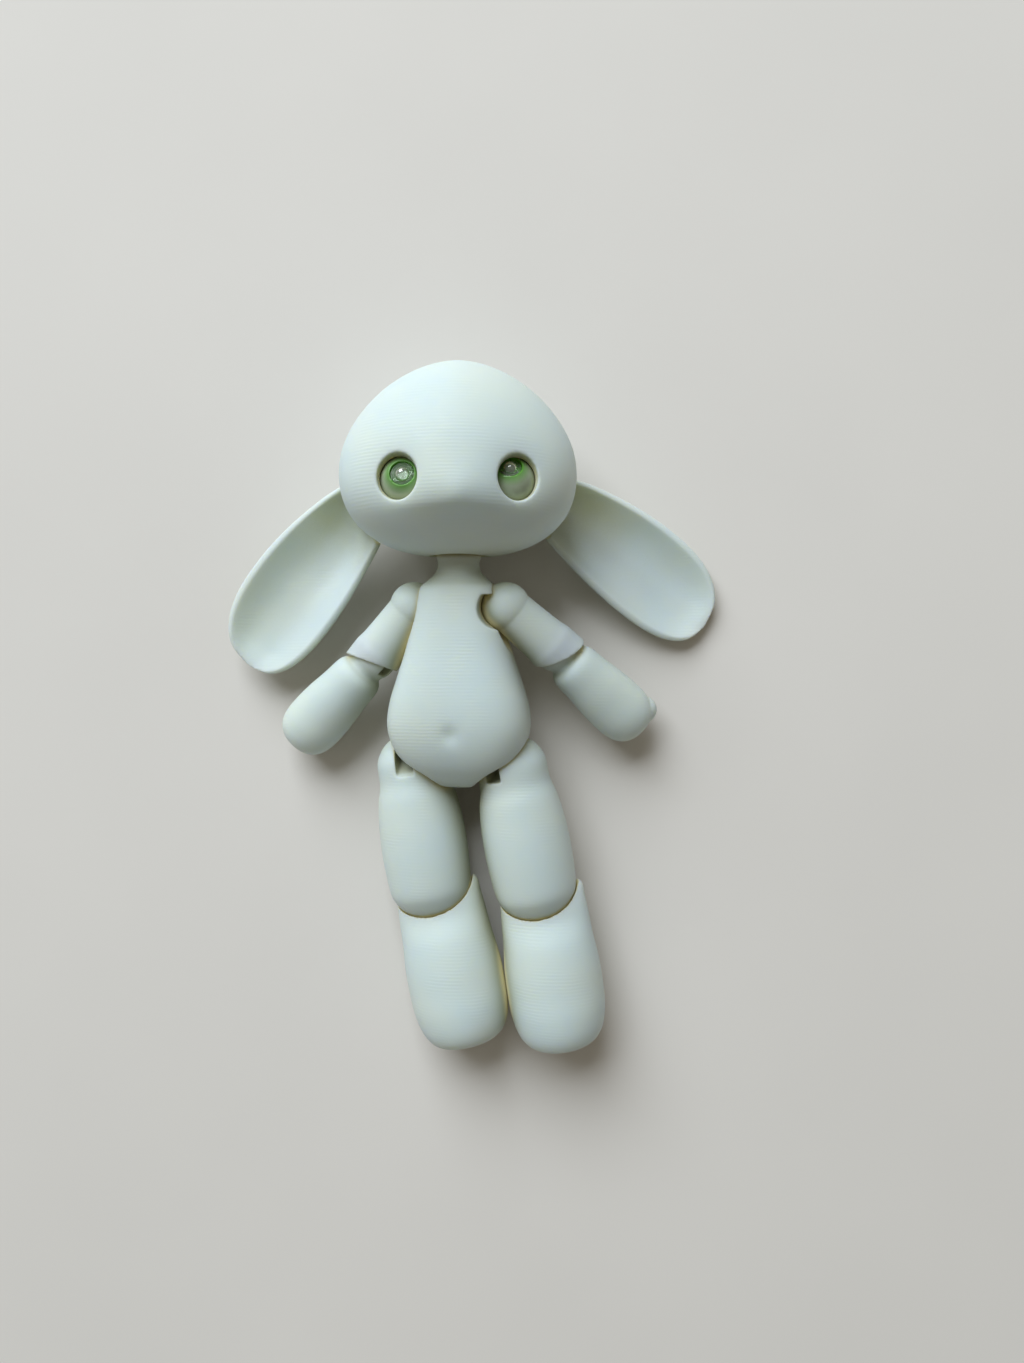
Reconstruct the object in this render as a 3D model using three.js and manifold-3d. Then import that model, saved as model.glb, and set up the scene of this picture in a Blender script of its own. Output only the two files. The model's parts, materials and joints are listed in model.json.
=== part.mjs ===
// Ball jointed doll: a small lop-eared rabbit cast in white resin and strung on elastic cord.
// It lies on its back: +Y towards the crown, +Z out of its face, +X towards its own left.
// Millimetres and degrees. Left and right are the doll's own.
import * as THREE from 'three';
import { mergeVertices } from 'three/addons/utils/BufferGeometryUtils.js';
import Module from 'manifold-3d';

const wasm = await Module();
wasm.setup();

// Clearances and cutting
const joint_gap = 0.25;
const seat_gap = 0.1;
const cord_gap = 0.3;
const seam_gap = 0.15;
const overrun = 1.5;
const weld_distance = 1e-5;

// Torso
const hip_axis_height = 5.1;
const torso_pitch = 5.2;
const torso_turn = 9;
const torso_half_width = 7.3;
const torso_front = 5.0;
const torso_back = 4.9;
const torso_below_hips = 1.65;
const torso_above_hips = 20.0;
const torso_squareness_share = 0.9;

// Each row: half width, front depth, back depth and height, from the seat up into the neck ball.
const torso_shares = [
  [0, 0, 0, 0],
  [0.3, 0.36, 0.24, 0.014],
  [0.59, 0.62, 0.46, 0.072],
  [0.8, 0.8, 0.68, 0.132],
  [0.94, 0.93, 0.88, 0.21],
  [1, 1, 1, 0.303],
  [0.96, 1, 0.96, 0.409],
  [0.85, 0.94, 0.88, 0.529],
  [0.74, 0.86, 0.82, 0.644],
  [0.65, 0.78, 0.78, 0.76],
  [0.595, 0.69, 0.7, 0.871],
  [0.53, 0.6, 0.58, 0.945],
  [0.4, 0.5, 0.5, 0.985],
  [0.31, 0.44, 0.44, 1.02],
  [0.288, 0.42, 0.43, 1.06],
  [0.288, 0.42, 0.43, 1.1],
  [0, 0, 0, 1.13],
];
const neck_start_share = 0.93;
const neck_full_share = 1.03;
const navel_depth = 0.25;
const navel_radius = 0.9;
const navel_above_hips = 4.3;

// Neck
const neck_ball_radius = 2.4;
const neck_pivot_share = 1.19;
const neck_bore_radius = 1.25;
const channel_join_share = 0.45;

// Shoulders and arms
const shoulder_spread = 4.75;
const shoulder_height_share = 0.845;
const shoulder_behind = 0.4;
const shoulder_ball_radius = 2.5;
const shoulder_notch_radius = 1.35;
const shoulder_notch_inward = 1.35;
const upper_arm_length = 6.9;
const upper_arm_waist_radius = 2.3;
const upper_arm_end_radius = 2.65;
const elbow_ball_radius = 2.3;
const elbow_rim_angle = 22;
const elbow_rim_reach = 0.55;
const arm_bore_radius = 0.85;
const limb_bore_radius = 0.72;
const armhole_angle = 38;
const armhole_reach = 7;
const shoulder_slot_width = 1.2;
const shoulder_slot_height = 3.6;
const forearm_length = 12.9;
const forearm_radius = 3.15;
const forearm_depth_share = 0.86;
const forearm_neck_radius = 1.95;
const forearm_slot_width = 1.2;
const elbow_ball_angles = [0, 25, 50, 75, 100, 120];
const forearm_groove_share = 0.125;
const hand_start_share = 0.2;
const hand_full_share = 0.7;

// Each row: radius and distance from the elbow, along the hand side of the groove.
const forearm_shares = [
  [0.76, 0.165],
  [0.84, 0.22],
  [0.885, 0.36],
  [0.965, 0.53],
  [1, 0.69],
  [0.97, 0.82],
  [0.82, 0.92],
  [0.5, 0.985],
  [0, 1],
];
const thumb_radius = 1.05;
const thumb_across_share = 0.68;
const thumb_along_share = 0.905;

// Hips and legs
const hip_spread = 5.3;
const hip_behind = 1.3;
const hip_cord_share = 0.45;
const hip_ball_radius = 3.7;
const hip_slot_width = 1.8;
const slot_floor = 0.6;
const thigh_length = 11.75;
const thigh_radius = 4.5;
const thigh_depth_share = 0.93;
const thigh_full_share = 0.5;
const hip_ball_angles = [0, 20, 40, 60, 80];
const knee_ball_angles = [75, 58, 40, 20, 0];
const knee_ball_radius = 4.35;
const leg_bore_radius = 1.15;
const thigh_bore_radius = 0.92;
const thigh_relief_radius = 4.35;
const thigh_relief_drop = 1.5;
const thigh_relief_ahead = 0.3;

// Each row: radius and distance from the hip to the knee centre.
const thigh_shares = [
  [0.82, 0.12],
  [0.915, 0.28],
  [0.98, 0.48],
  [1, 0.7],
  [0.985, 0.9],
];
const lower_leg_length = 17.6;
const lower_leg_half_width = 5.05;
const lower_leg_front = 4.6;
const lower_leg_back = 4.3;
const lower_leg_offset = 0.55;

// Each row: half width, front depth, back depth and distance, from the knee to the sole.
const lower_leg_shares = [
  [0, 0, 0, 0.005],
  [0.6, 0.12, 0.3, 0.012],
  [0.85, 0.28, 0.62, 0.05],
  [0.885, 0.52, 0.8, 0.14],
  [0.91, 0.64, 0.88, 0.24],
  [0.935, 0.82, 0.94, 0.36],
  [0.985, 0.92, 0.97, 0.5],
  [1, 0.97, 1, 0.64],
  [0.98, 1, 1, 0.78],
  [0.88, 0.94, 0.9, 0.9],
  [0.7, 0.78, 0.72, 0.97],
  [0.4, 0.46, 0.42, 0.998],
  [0, 0, 0, 1],
];
const sole_flat = 0.15;
const ankle_pin_above_sole = 3.2;

// Head
const head_half_width = 11.8;
const head_above_centre = 11.4;
const head_below_centre = 8.0;
const head_front = 8.9;
const head_back = 9.7;
const head_centre_above_pivot = 5.95;
const head_centre_ahead = 1.4;
const head_turn = 2.3;
const head_wall = 2.0;
const head_power_share = 2.1;
const head_power_change_share = 0.28;
const head_power_rate_share = 3;
const face_front_share = 0.5;
const cup_wall = 1.1;

// Face: place across and up from the centre, spread each way, all as shares of the half width.
const muzzle = { across_share: 0, up_share: -0.3, wide_share: 0.5, tall_share: 0.26 };
const nose = { across_share: 0, up_share: -0.37, wide_share: 0.1, tall_share: 0.07 };
const eye_dimple = { across_share: 0.5, up_share: -0.13, wide_share: 0.22, tall_share: 0.25 };
const muzzle_reach = 1.0;
const nose_reach = 0.4;
const eye_dimple_depth = 0.5;

// Eyes
const eye_spread = 4.95;
const eye_below_centre = 1.5;
const eye_ahead = 5.0;
const eye_radius = 2.45;
const eye_opening_half_width = 1.93;
const eye_opening_half_height = 2.08;
const eye_opening_outward = 0.3;
const eye_opening_angle = 10;
const iris_radius = 1.1;
const iris_thickness = 0.3;
const iris_depth = 0.75;
const dome_bulge = 0.04;
const putty_radius = 1.9;

// Head cap and its magnets
const cap_lean = 25;
const cap_seam_behind_centre = 6.8;
const magnet_radius = 0.6;
const magnet_thickness = 0.8;
const magnet_spread = 6.7;

// Ears
const ear_length = 22.9;
const ear_half_width = 5.15;
const ear_thickness = 1.5;
const ear_scoop = 1.35;
const ear_bow = 0.7;
const ear_ball_radius = 1.5;
const ear_stem_radius = 0.9;
const ear_spread = 8.3;
const ear_below_centre = 1.0;
const ear_behind_centre = 4.4;
const ear_mouth_spread = 0.5;
const ear_root_gap = 0.35;
const ear_flap_angle = 10;
const ear_stem_share = 0.16;
const ear_hollow_power_share = 1.5;

// Each row: half width, thickness, scoop and distance from the ball to the tip.
const ear_shares = [
  [0, 0, 0, 0],
  [0.5, 1, 0.1, 0.03],
  [0.68, 1, 0.4, 0.12],
  [0.82, 1, 0.8, 0.25],
  [0.94, 1, 1, 0.41],
  [1, 1, 1, 0.58],
  [0.97, 1, 0.9, 0.75],
  [0.81, 0.95, 0.6, 0.88],
  [0.5, 0.8, 0.25, 0.965],
  [0, 0, 0, 1],
];

// Elastic cord, stringing pins and the hook in the head
const arm_cord_radius = 0.35;
const leg_cord_radius = 0.4;
const strand_spread = 0.5;
const strand_ahead = 0.35;
const arm_cord_behind = 0.25;
const pin_radius = 0.4;
const wrist_pin_share = 0.62;
const hook_radius = 0.45;
const hook_length = 5.2;

// Rest pose of each side in degrees: s is +1 on the doll's left, and a lean turns about +Z.
const sides = [
  {
    name: 'right', s: -1, arm_lean: -39, arm_drop: 11, forearm_lean: -5, elbow_turn: 60,
    leg_lean: 8.6, leg_drop: -0.4, shin_lean: 3.4, hip_slot_turn: 6, knee_turn: 4, ear_lean: -38.3,
    ear_drop: 7.5, thumb_turn: 110, gaze_across: -6, gaze_up: 11,
  },
  {
    name: 'left', s: 1, arm_lean: 50, arm_drop: 15, forearm_lean: -2, elbow_turn: -105,
    leg_lean: 11.2, leg_drop: 2.6, shin_lean: -2.9, hip_slot_turn: -20, knee_turn: -24, ear_lean: 53.3,
    ear_drop: 7.5, thumb_turn: 0, gaze_across: -2, gaze_up: 32,
  },
];

// Mesh resolution
const face_detail = { around: 32, along: 22 };
const ear_detail = { around: 20, along: 16 };
const forearm_detail = { around: 16, along: 18 };
const fine = { around: 20, along: 20 };
const middling = { around: 16, along: 10 };
const coarse = { around: 10, along: 6 };
const bore_sides = 8;
const cord_sides = 8;
const stem_sides = 12;
const magnet_sides = 14;
const mouth_sides = 16;
const disc_sides = 20;
const opening_sides = 24;
const shoulder_arc_steps = 8;
const leg_loop_steps = 40;
const hook_loop_steps = 24;

const resin = new THREE.MeshStandardMaterial({ color: 0xe6ece2, roughness: 0.62, metalness: 0 });
const elastic = new THREE.MeshStandardMaterial({ color: 0xefeadb, roughness: 0.7, metalness: 0 });
const steel = new THREE.MeshStandardMaterial({ color: 0xb9bcc0, roughness: 0.3, metalness: 1 });
const nickel = new THREE.MeshStandardMaterial({ color: 0xc9c8c2, roughness: 0.22, metalness: 1 });
const putty = new THREE.MeshStandardMaterial({ color: 0xd8d2c0, roughness: 0.85, metalness: 0 });
const sclera = new THREE.MeshStandardMaterial({ color: 0xb9c8b4, roughness: 0.25, metalness: 0 });
const iris = new THREE.MeshStandardMaterial({ color: 0x5f9a2c, roughness: 0.35, metalness: 0 });
const clear = new THREE.MeshStandardMaterial({
  color: 0xe9f2ea, roughness: 0.04, metalness: 0, transparent: true, opacity: 0.3,
});

const radians = THREE.MathUtils.degToRad;
const place = (x, y, z) => new THREE.Vector3(x, y, z);
const down = place(0, -1, 0);

// A limb along -Y leans about Z and drops behind by turning about its own X.
const leaning = (lean, drop) => new THREE.Euler(radians(drop), 0, radians(lean), 'ZXY');

// A closed three.js geometry as a solid that can be joined and cut.
function solid(geometry) {
  const bare = geometry.clone();
  for (const name of Object.keys(bare.attributes)) {
    if (name !== 'position') bare.deleteAttribute(name);
  }
  const merged = mergeVertices(bare, weld_distance);
  const corners = [];
  for (let i = 0; i < merged.index.count; i += 3) {
    const [a, b, c] = [0, 1, 2].map((k) => merged.index.getX(i + k));
    if (a !== b && b !== c && c !== a) corners.push(a, b, c);
  }
  return new wasm.Manifold(new wasm.Mesh({
    numProp: 3,
    vertProperties: Float32Array.from(merged.attributes.position.array),
    triVerts: Uint32Array.from(corners),
  }));
}

function geometryOf(body) {
  const mesh = body.getMesh();
  const geometry = new THREE.BufferGeometry();
  geometry.setAttribute('position', new THREE.BufferAttribute(mesh.vertProperties, 3));
  geometry.setIndex(new THREE.BufferAttribute(mesh.triVerts, 1));
  return geometry;
}

function addPiece(group, name, body, material) {
  const mesh = new THREE.Mesh(geometryOf(body), material);
  mesh.name = name;
  group.add(mesh);
  return mesh;
}

function groupAt(parent, position, rotation = new THREE.Euler()) {
  const group = new THREE.Group();
  group.position.copy(position);
  group.rotation.copy(rotation);
  parent.add(group);
  return group;
}

// A closed skin: where(around, along) gives each point, from one pole to the other.
function skin({ around, along }, where) {
  const geometry = new THREE.SphereGeometry(1, around, along);
  const { position, uv } = geometry.attributes;
  for (let i = 0; i < position.count; i += 1) {
    const point = where(uv.getX(i) * 2 * Math.PI, 1 - uv.getY(i));
    position.setXYZ(i, point.x, point.y, point.z);
  }
  return solid(geometry);
}

// A smooth curve through the rows of a table, each value on its own, at t from 0 to 1.
function through(rows, t) {
  const last = rows.length - 1;
  const at = Math.min(Math.floor(t * last), last - 1);
  const f = t * last - at;
  const row = (i) => rows[Math.min(Math.max(i, 0), last)];
  return rows[at].map((value, k) => {
    const [a, b, c, d] = [row(at - 1)[k], value, row(at + 1)[k], row(at + 2)[k]];
    return b + 0.5 * f * (c - a + f * (2 * a - 5 * b + 4 * c - d + f * (3 * (b - c) + d - a)));
  });
}

function ball(radius, centre = place(0, 0, 0), detail = middling) {
  const geometry = new THREE.SphereGeometry(radius, detail.around, detail.along);
  return solid(geometry.translate(centre.x, centre.y, centre.z));
}

// A round bar between two points.
function rod(radius, from, to, bar_sides = bore_sides) {
  const run = to.clone().sub(from);
  const geometry = new THREE.CylinderGeometry(radius, radius, run.length(), bar_sides);
  const turn = new THREE.Quaternion().setFromUnitVectors(place(0, 1, 0), run.clone().normalize());
  const middle = from.clone().addScaledVector(run, 0.5);
  geometry.applyMatrix4(new THREE.Matrix4().compose(middle, turn, place(1, 1, 1)));
  return solid(geometry);
}

// A turned solid about the Y axis from radius and height pairs that start and end on the axis.
function turned(outline, detail = middling) {
  const points = outline.map(([radius, height]) => new THREE.Vector2(radius, height));
  return solid(new THREE.LatheGeometry(points, detail.around));
}

// A block of given size about a centre, turned about the Y axis.
function block(size, centre, turn = 0) {
  const geometry = new THREE.BoxGeometry(size.x, size.y, size.z);
  geometry.translate(centre.x, centre.y, centre.z);
  geometry.rotateY(turn);
  return solid(geometry);
}

// A round cord along a smooth curve through points.
function cord(radius, points, steps) {
  const section = new THREE.Shape();
  for (let i = 0; i < cord_sides; i += 1) {
    const angle = (i / cord_sides) * 2 * Math.PI;
    const [x, y] = [radius * Math.cos(angle), radius * Math.sin(angle)];
    if (i === 0) section.moveTo(x, y);
    else section.lineTo(x, y);
  }
  const extrudePath = new THREE.CatmullRomCurve3(points);
  return solid(new THREE.ExtrudeGeometry(section, { steps, extrudePath, bevelEnabled: false }));
}

// Rows of radius and height shares over a ball's cap, at angles from its pole.
function capShares(radius, limb_radius, limb_length, angles) {
  return angles.map((angle) => [
    (radius / limb_radius) * Math.sin(radians(angle)),
    (-radius / limb_length) * Math.cos(radians(angle)),
  ]);
}

// Arc of a ball's outline from angle a to b, measured from the top, as radius and height pairs.
function arc(radius, centre_height, a, b, steps) {
  return Array.from({ length: steps + 1 }, (_, i) => {
    const angle = radians(a + ((b - a) * i) / steps);
    return [radius * Math.sin(angle), centre_height + radius * Math.cos(angle)];
  });
}

const doll = new THREE.Group();
const torso_rotation = new THREE.Euler(radians(torso_pitch), radians(-torso_turn), 0);
const torso_group = groupAt(doll, place(0, 0, hip_axis_height), torso_rotation);
torso_group.updateMatrixWorld(true);

// Torso with its neck, sockets and cord channels, about the middle of the hip axis.
const torso_length = torso_below_hips + torso_above_hips;
const shoulder_above_hips = torso_above_hips * shoulder_height_share;
const neck_pivot_above_hips = torso_above_hips * neck_pivot_share;
const channel_join = torso_above_hips * channel_join_share;

// The dish in the torso's side that lets an arm hanging at its lean swing round the cord.
function armhole(s) {
  const clear = upper_arm_waist_radius + joint_gap;
  const lean = radians(armhole_angle);
  const across = (r) => (r - clear * Math.sin(lean)) * Math.tan(lean) - clear * Math.cos(lean);
  const outline = [0, shoulder_ball_radius, armhole_reach]
    .map((r) => [r, across(Math.max(r, shoulder_ball_radius))]);
  outline.push([armhole_reach, armhole_reach], [0, armhole_reach]);
  const points = outline.map(([radius, height]) => new THREE.Vector2(radius, height));
  const geometry = new THREE.LatheGeometry(points, fine.around);
  geometry.rotateZ(-s * Math.PI * 0.5);
  const { x, y, z } = shoulderCentre(s);
  return solid(geometry.translate(x, y, z));
}

const shoulderCentre = (s) => place(s * shoulder_spread, shoulder_above_hips, -shoulder_behind);
const hipCentre = (s) => place(s * hip_spread, 0, -hip_behind);

function torsoSkin(around, t) {
  const [width, front, back, height] = through(torso_shares, 1 - t);
  const chest = 1 - THREE.MathUtils.smoothstep(height, neck_start_share, neck_full_share);
  const power = 2 / (2 + torso_squareness_share * chest);
  const square = (value) => Math.sign(value) * Math.abs(value) ** power;
  const z = square(Math.sin(around));
  const depth = z > 0 ? front * torso_front : back * torso_back;
  const x = -width * torso_half_width * square(Math.cos(around));
  const y = height * torso_length - torso_below_hips;
  const reach = Math.hypot(x, y - navel_above_hips);
  const dent = z > 0 ? navel_depth * Math.exp(-((reach / navel_radius) ** 2)) : 0;
  return place(x, y, depth * z - dent);
}

function torsoSolid() {
  let body = skin(fine, torsoSkin).add(ball(neck_ball_radius, place(0, neck_pivot_above_hips, 0)));
  for (const { s } of sides) {
    const hip = hipCentre(s);
    body = body.subtract(ball(shoulder_ball_radius + joint_gap, shoulderCentre(s)));
    body = body.subtract(armhole(s));
    body = body.subtract(ball(hip_ball_radius + joint_gap, hip));
    const relief = place(0, -thigh_relief_drop, thigh_relief_ahead).add(hip);
    body = body.subtract(ball(thigh_relief_radius, relief));
    const entry = place(0, hip_ball_radius + leg_bore_radius, 0).add(hip);
    body = body.subtract(rod(leg_bore_radius, hip, entry));
    body = body.subtract(rod(leg_bore_radius, entry, place(0, channel_join, 0)));
    body = body.subtract(ball(leg_bore_radius, entry, coarse));
  }
  body = body.subtract(rod(arm_bore_radius, ...sides.map(({ s }) => shoulderCentre(s))));
  const notch = shoulderCentre(1).add(place(-shoulder_notch_inward, 0, 0));
  const notch_front = place(0, 0, torso_front + overrun).add(notch);
  body = body.subtract(rod(shoulder_notch_radius, notch, notch_front, middling.around));
  const neck_top = place(0, neck_pivot_above_hips + neck_ball_radius + overrun, 0);
  return body.subtract(rod(neck_bore_radius, place(0, channel_join, 0), neck_top));
}

addPiece(torso_group, 'torso', torsoSolid(), resin);

// Elastic in the torso: one loop from leg to leg round the neck, and one run from arm to arm.
const arm_cord_half = shoulder_spread - shoulder_ball_radius - joint_gap - cord_gap;
const arm_cord_z = -shoulder_behind - arm_cord_behind;
const arm_run = [-1, 1].map((s) => place(s * arm_cord_half, shoulder_above_hips, arm_cord_z));
addPiece(torso_group, 'arm_cord_in_torso', rod(arm_cord_radius, ...arm_run, cord_sides), elastic);

function legLoop() {
  const start = hip_ball_radius + joint_gap + cord_gap;
  const top = neck_pivot_above_hips - neck_ball_radius * 0.5;
  const half = [
    place(hip_spread, start, -hip_behind),
    place(hip_spread - strand_spread, start + strand_spread * 2, -hip_behind),
    place(strand_spread * 2, channel_join - strand_spread, strand_ahead),
    place(strand_spread, channel_join + strand_spread * 3, strand_ahead),
    place(strand_spread, shoulder_above_hips, strand_ahead),
    place(strand_spread, top - strand_spread, strand_ahead),
  ];
  const other = half.map((point) => place(-point.x, point.y, point.z)).reverse();
  return cord(leg_cord_radius, [...half, place(0, top, strand_ahead), ...other], leg_loop_steps);
}
addPiece(torso_group, 'leg_cord_in_torso', legLoop(), elastic);

// A slot cut from a ball's centre towards +Y and the front, turned about the ball's Y axis.
function slot(width, reach, turn, way = 1) {
  const size = place(width, reach + slot_floor, reach + slot_floor);
  const shift = 0.5 * (reach - slot_floor) * way;
  return block(size, place(0, shift, shift), radians(turn));
}

// Arms. The shoulder ball and its slotted cord, the elbow cup and the forearm with its mitten.
function upperArmSolid({ s, elbow_turn }, torso_turned) {
  const end = -upper_arm_length - elbow_rim_reach;
  const waist_angle = 180 - THREE.MathUtils.radToDeg(
    Math.asin(upper_arm_waist_radius / shoulder_ball_radius),
  );
  const outline = [
    ...arc(shoulder_ball_radius, 0, 0, waist_angle, shoulder_arc_steps),
    [(upper_arm_waist_radius + upper_arm_end_radius) * 0.5, (end - shoulder_ball_radius) * 0.5],
    [upper_arm_end_radius, end + elbow_rim_reach * 2],
    [upper_arm_end_radius, end - overrun],
    [0, end - overrun],
  ].reverse();
  const elbow = place(0, -upper_arm_length, 0);
  let body = turned(outline);
  body = body.subtract(ball(elbow_ball_radius + joint_gap, elbow));
  const wide = upper_arm_length * 2;
  const rim = new THREE.BoxGeometry(wide, wide, wide);
  rim.translate(0, -wide * 0.5 - elbow_rim_reach, 0);
  rim.rotateX(radians(-elbow_rim_angle));
  rim.rotateY(radians(elbow_turn));
  rim.translate(0, -upper_arm_length, 0);
  body = body.subtract(solid(rim));
  const reach = shoulder_ball_radius + overrun + slot_floor;
  const cut = new THREE.BoxGeometry(reach, shoulder_slot_height, shoulder_slot_width);
  cut.translate(-s * (reach * 0.5 - slot_floor), 0, 0);
  cut.applyMatrix4(torso_turned);
  body = body.subtract(solid(cut));
  return body.subtract(rod(limb_bore_radius, place(0, 0, 0), elbow));
}

function forearmSkin(around, t) {
  const [radius, height] = through(forearm_rows, t);
  const x = -radius * forearm_radius * Math.cos(around);
  const z = radius * forearm_radius * Math.sin(around) * handDepth(height);
  return place(x, -height * forearm_length, z);
}

function forearmSolid({ s, thumb_turn, elbow_turn }) {
  let body = skin(forearm_detail, forearmSkin);
  const thumb = place(s * forearm_radius * thumb_across_share, 0, 0);
  thumb.applyEuler(new THREE.Euler(0, radians(s * thumb_turn), 0));
  thumb.y = -forearm_length * thumb_along_share;
  body = body.add(ball(thumb_radius, thumb, coarse));
  body = body.subtract(slot(forearm_slot_width, elbow_ball_radius + overrun, elbow_turn));
  const pin_at = -forearm_length * wrist_pin_share;
  body = body.subtract(rod(limb_bore_radius, place(0, 0, 0), place(0, pin_at, 0)));
  return body.subtract(pinHole(pin_at, forearm_radius, pin_radius + seat_gap));
}

// A cross hole from the back of a limb to just past its cord.
function pinHole(y, depth, radius) {
  return rod(radius, place(0, y, -depth - overrun), place(0, y, pin_radius * 3));
}

const forearm_rows = [
  ...capShares(elbow_ball_radius, forearm_radius, forearm_length, elbow_ball_angles),
  [forearm_neck_radius / forearm_radius, forearm_groove_share],
  ...forearm_shares,
];

// How flat the mitten is at a share of the way to its tip.
function handDepth(share) {
  const flat = THREE.MathUtils.smoothstep(share, hand_start_share, hand_full_share);
  return 1 - (1 - forearm_depth_share) * flat;
}

for (const side of sides) {
  const { s, name } = side;
  const at = torso_group.localToWorld(shoulderCentre(s));
  const bead = groupAt(doll, at, torso_group.rotation);
  const inner = -s * (shoulder_ball_radius - cord_gap);
  const run = rod(arm_cord_radius, place(inner, 0, 0), place(-s * arm_cord_radius, 0, 0), cord_sides);
  addPiece(bead, `shoulder_cord_${name}`, run, elastic);

  const turn = leaning(side.arm_lean, side.arm_drop);
  const arm = groupAt(doll, at, turn);
  const torso_turned = new THREE.Matrix4().makeRotationFromEuler(turn).invert();
  torso_turned.multiply(new THREE.Matrix4().makeRotationFromEuler(torso_rotation));
  addPiece(arm, `upper_arm_${name}`, upperArmSolid(side, torso_turned), resin);
  const cord_top = place(0, -slot_floor - cord_gap, 0);
  const cord_end = place(0, -upper_arm_length + arm_cord_radius, 0);
  addPiece(arm, `upper_arm_cord_${name}`, rod(arm_cord_radius, cord_top, cord_end, cord_sides), elastic);

  const elbow = place(0, -upper_arm_length, 0);
  const forearm = groupAt(arm, elbow, new THREE.Euler(0, 0, radians(side.forearm_lean)));
  addPiece(forearm, `forearm_${name}`, forearmSolid(side), resin);
  const pin_at = -forearm_length * wrist_pin_share;
  const stretch_top = place(0, -arm_cord_radius - cord_gap, 0);
  const stretch_end = place(0, pin_at + pin_radius + seat_gap, 0);
  const stretch = rod(arm_cord_radius, stretch_top, stretch_end, cord_sides);
  addPiece(forearm, `forearm_cord_${name}`, stretch, elastic);
  const pin_back = place(0, pin_at, -forearm_radius * forearm_depth_share + pin_radius * 2);
  const pin = rod(pin_radius, pin_back, place(0, pin_at, pin_radius * 2.5));
  addPiece(forearm, `wrist_pin_${name}`, pin, steel);
}

// Legs. The slotted hip ball, the knee dome and the lower leg with its foot.
function thighSkin(around, t) {
  const [radius, height] = through(thigh_rows, t);
  const shape = THREE.MathUtils.smoothstep(height, 0, thigh_full_share);
  const x = -radius * thigh_radius * Math.cos(around);
  const z = radius * thigh_radius * Math.sin(around) * (1 - (1 - thigh_depth_share) * shape);
  return place(x, -height * thigh_length, z);
}

const thigh_rows = [
  ...capShares(hip_ball_radius, thigh_radius, thigh_length, hip_ball_angles),
  ...thigh_shares,
  ...capShares(knee_ball_radius, thigh_radius, -thigh_length, knee_ball_angles)
    .map(([radius, height]) => [radius, height + 1]),
];

function thighSolid(hip_turn, knee_turn) {
  let body = skin(fine, thighSkin);
  const knee = place(0, -thigh_length, 0);
  body = body.subtract(slot(hip_slot_width, hip_ball_radius + overrun, hip_turn));
  body = body.subtract(rod(thigh_bore_radius, place(0, 0, 0), knee));
  const reach = knee_ball_radius + overrun;
  const behind = slot(hip_slot_width, reach, knee_turn, -1).translate(0, -thigh_length, 0);
  return body.subtract(behind);
}

function lowerLegSkin(around, t) {
  const [width, front, back, height] = through(lower_leg_shares, t);
  const z = Math.sin(around);
  const depth = z > 0 ? front * lower_leg_front : back * lower_leg_back;
  const x = -width * lower_leg_half_width * Math.cos(around) + lower_leg_offset;
  return place(x, -height * lower_leg_length, depth * z);
}

function lowerLegSolid() {
  let body = skin(fine, lowerLegSkin).subtract(ball(knee_ball_radius + joint_gap));
  const pin_at = ankle_pin_above_sole - lower_leg_length;
  const wide = lower_leg_half_width * 3;
  const under = place(0, -lower_leg_length + sole_flat - wide * 0.5, 0);
  body = body.subtract(block(place(wide, wide, wide), under));
  body = body.subtract(rod(thigh_bore_radius, place(0, 0, 0), place(0, pin_at, 0)));
  return body.subtract(pinHole(pin_at, lower_leg_back, pin_radius + seat_gap));
}

for (const side of sides) {
  const { s, name } = side;
  const at = torso_group.localToWorld(hipCentre(s));
  const turn = leaning(side.leg_lean, side.leg_drop);
  const bead = groupAt(doll, at, turn);
  const upper = place(0, hip_ball_radius * hip_cord_share, 0);
  const run = rod(leg_cord_radius, place(0, leg_cord_radius, 0), upper, cord_sides);
  addPiece(bead, `hip_cord_${name}`, run, elastic);

  const thigh = groupAt(doll, at, turn);
  addPiece(thigh, `thigh_${name}`, thighSolid(side.hip_slot_turn, side.knee_turn), resin);
  const cord_top = place(0, -slot_floor - cord_gap, 0);
  const cord_end = place(0, -thigh_length + slot_floor + cord_gap, 0);
  addPiece(thigh, `thigh_cord_${name}`, rod(leg_cord_radius, cord_top, cord_end, cord_sides), elastic);

  const knee = place(0, -thigh_length, 0);
  const shin = groupAt(thigh, knee, new THREE.Euler(0, 0, radians(side.shin_lean)));
  addPiece(shin, `lower_leg_${name}`, lowerLegSolid(), resin);
  const pin_at = ankle_pin_above_sole - lower_leg_length;
  const stretch_end = place(0, pin_at + pin_radius + seat_gap, 0);
  const stretch = rod(leg_cord_radius, place(0, -leg_cord_radius, 0), stretch_end, cord_sides);
  addPiece(shin, `lower_leg_cord_${name}`, stretch, elastic);
  const pin_back = place(0, pin_at, -lower_leg_back + pin_radius * 2);
  const pin = rod(pin_radius, pin_back, place(0, pin_at, pin_radius * 2.5));
  addPiece(shin, `ankle_pin_${name}`, pin, steel);
}

// Head, about the neck's pivot.
const pivot = torso_group.localToWorld(place(0, neck_pivot_above_hips, 0));
const neck_group = groupAt(doll, pivot, torso_group.rotation);
const neck_run = [place(0, 0, 0), place(0, neck_ball_radius - seat_gap, 0)];
addPiece(neck_group, 'neck_cord', rod(leg_cord_radius, ...neck_run, cord_sides), elastic);

const head = groupAt(doll, pivot, new THREE.Euler(0, radians(head_turn), 0));
const centre = place(0, head_centre_above_pivot, head_centre_ahead);

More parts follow.
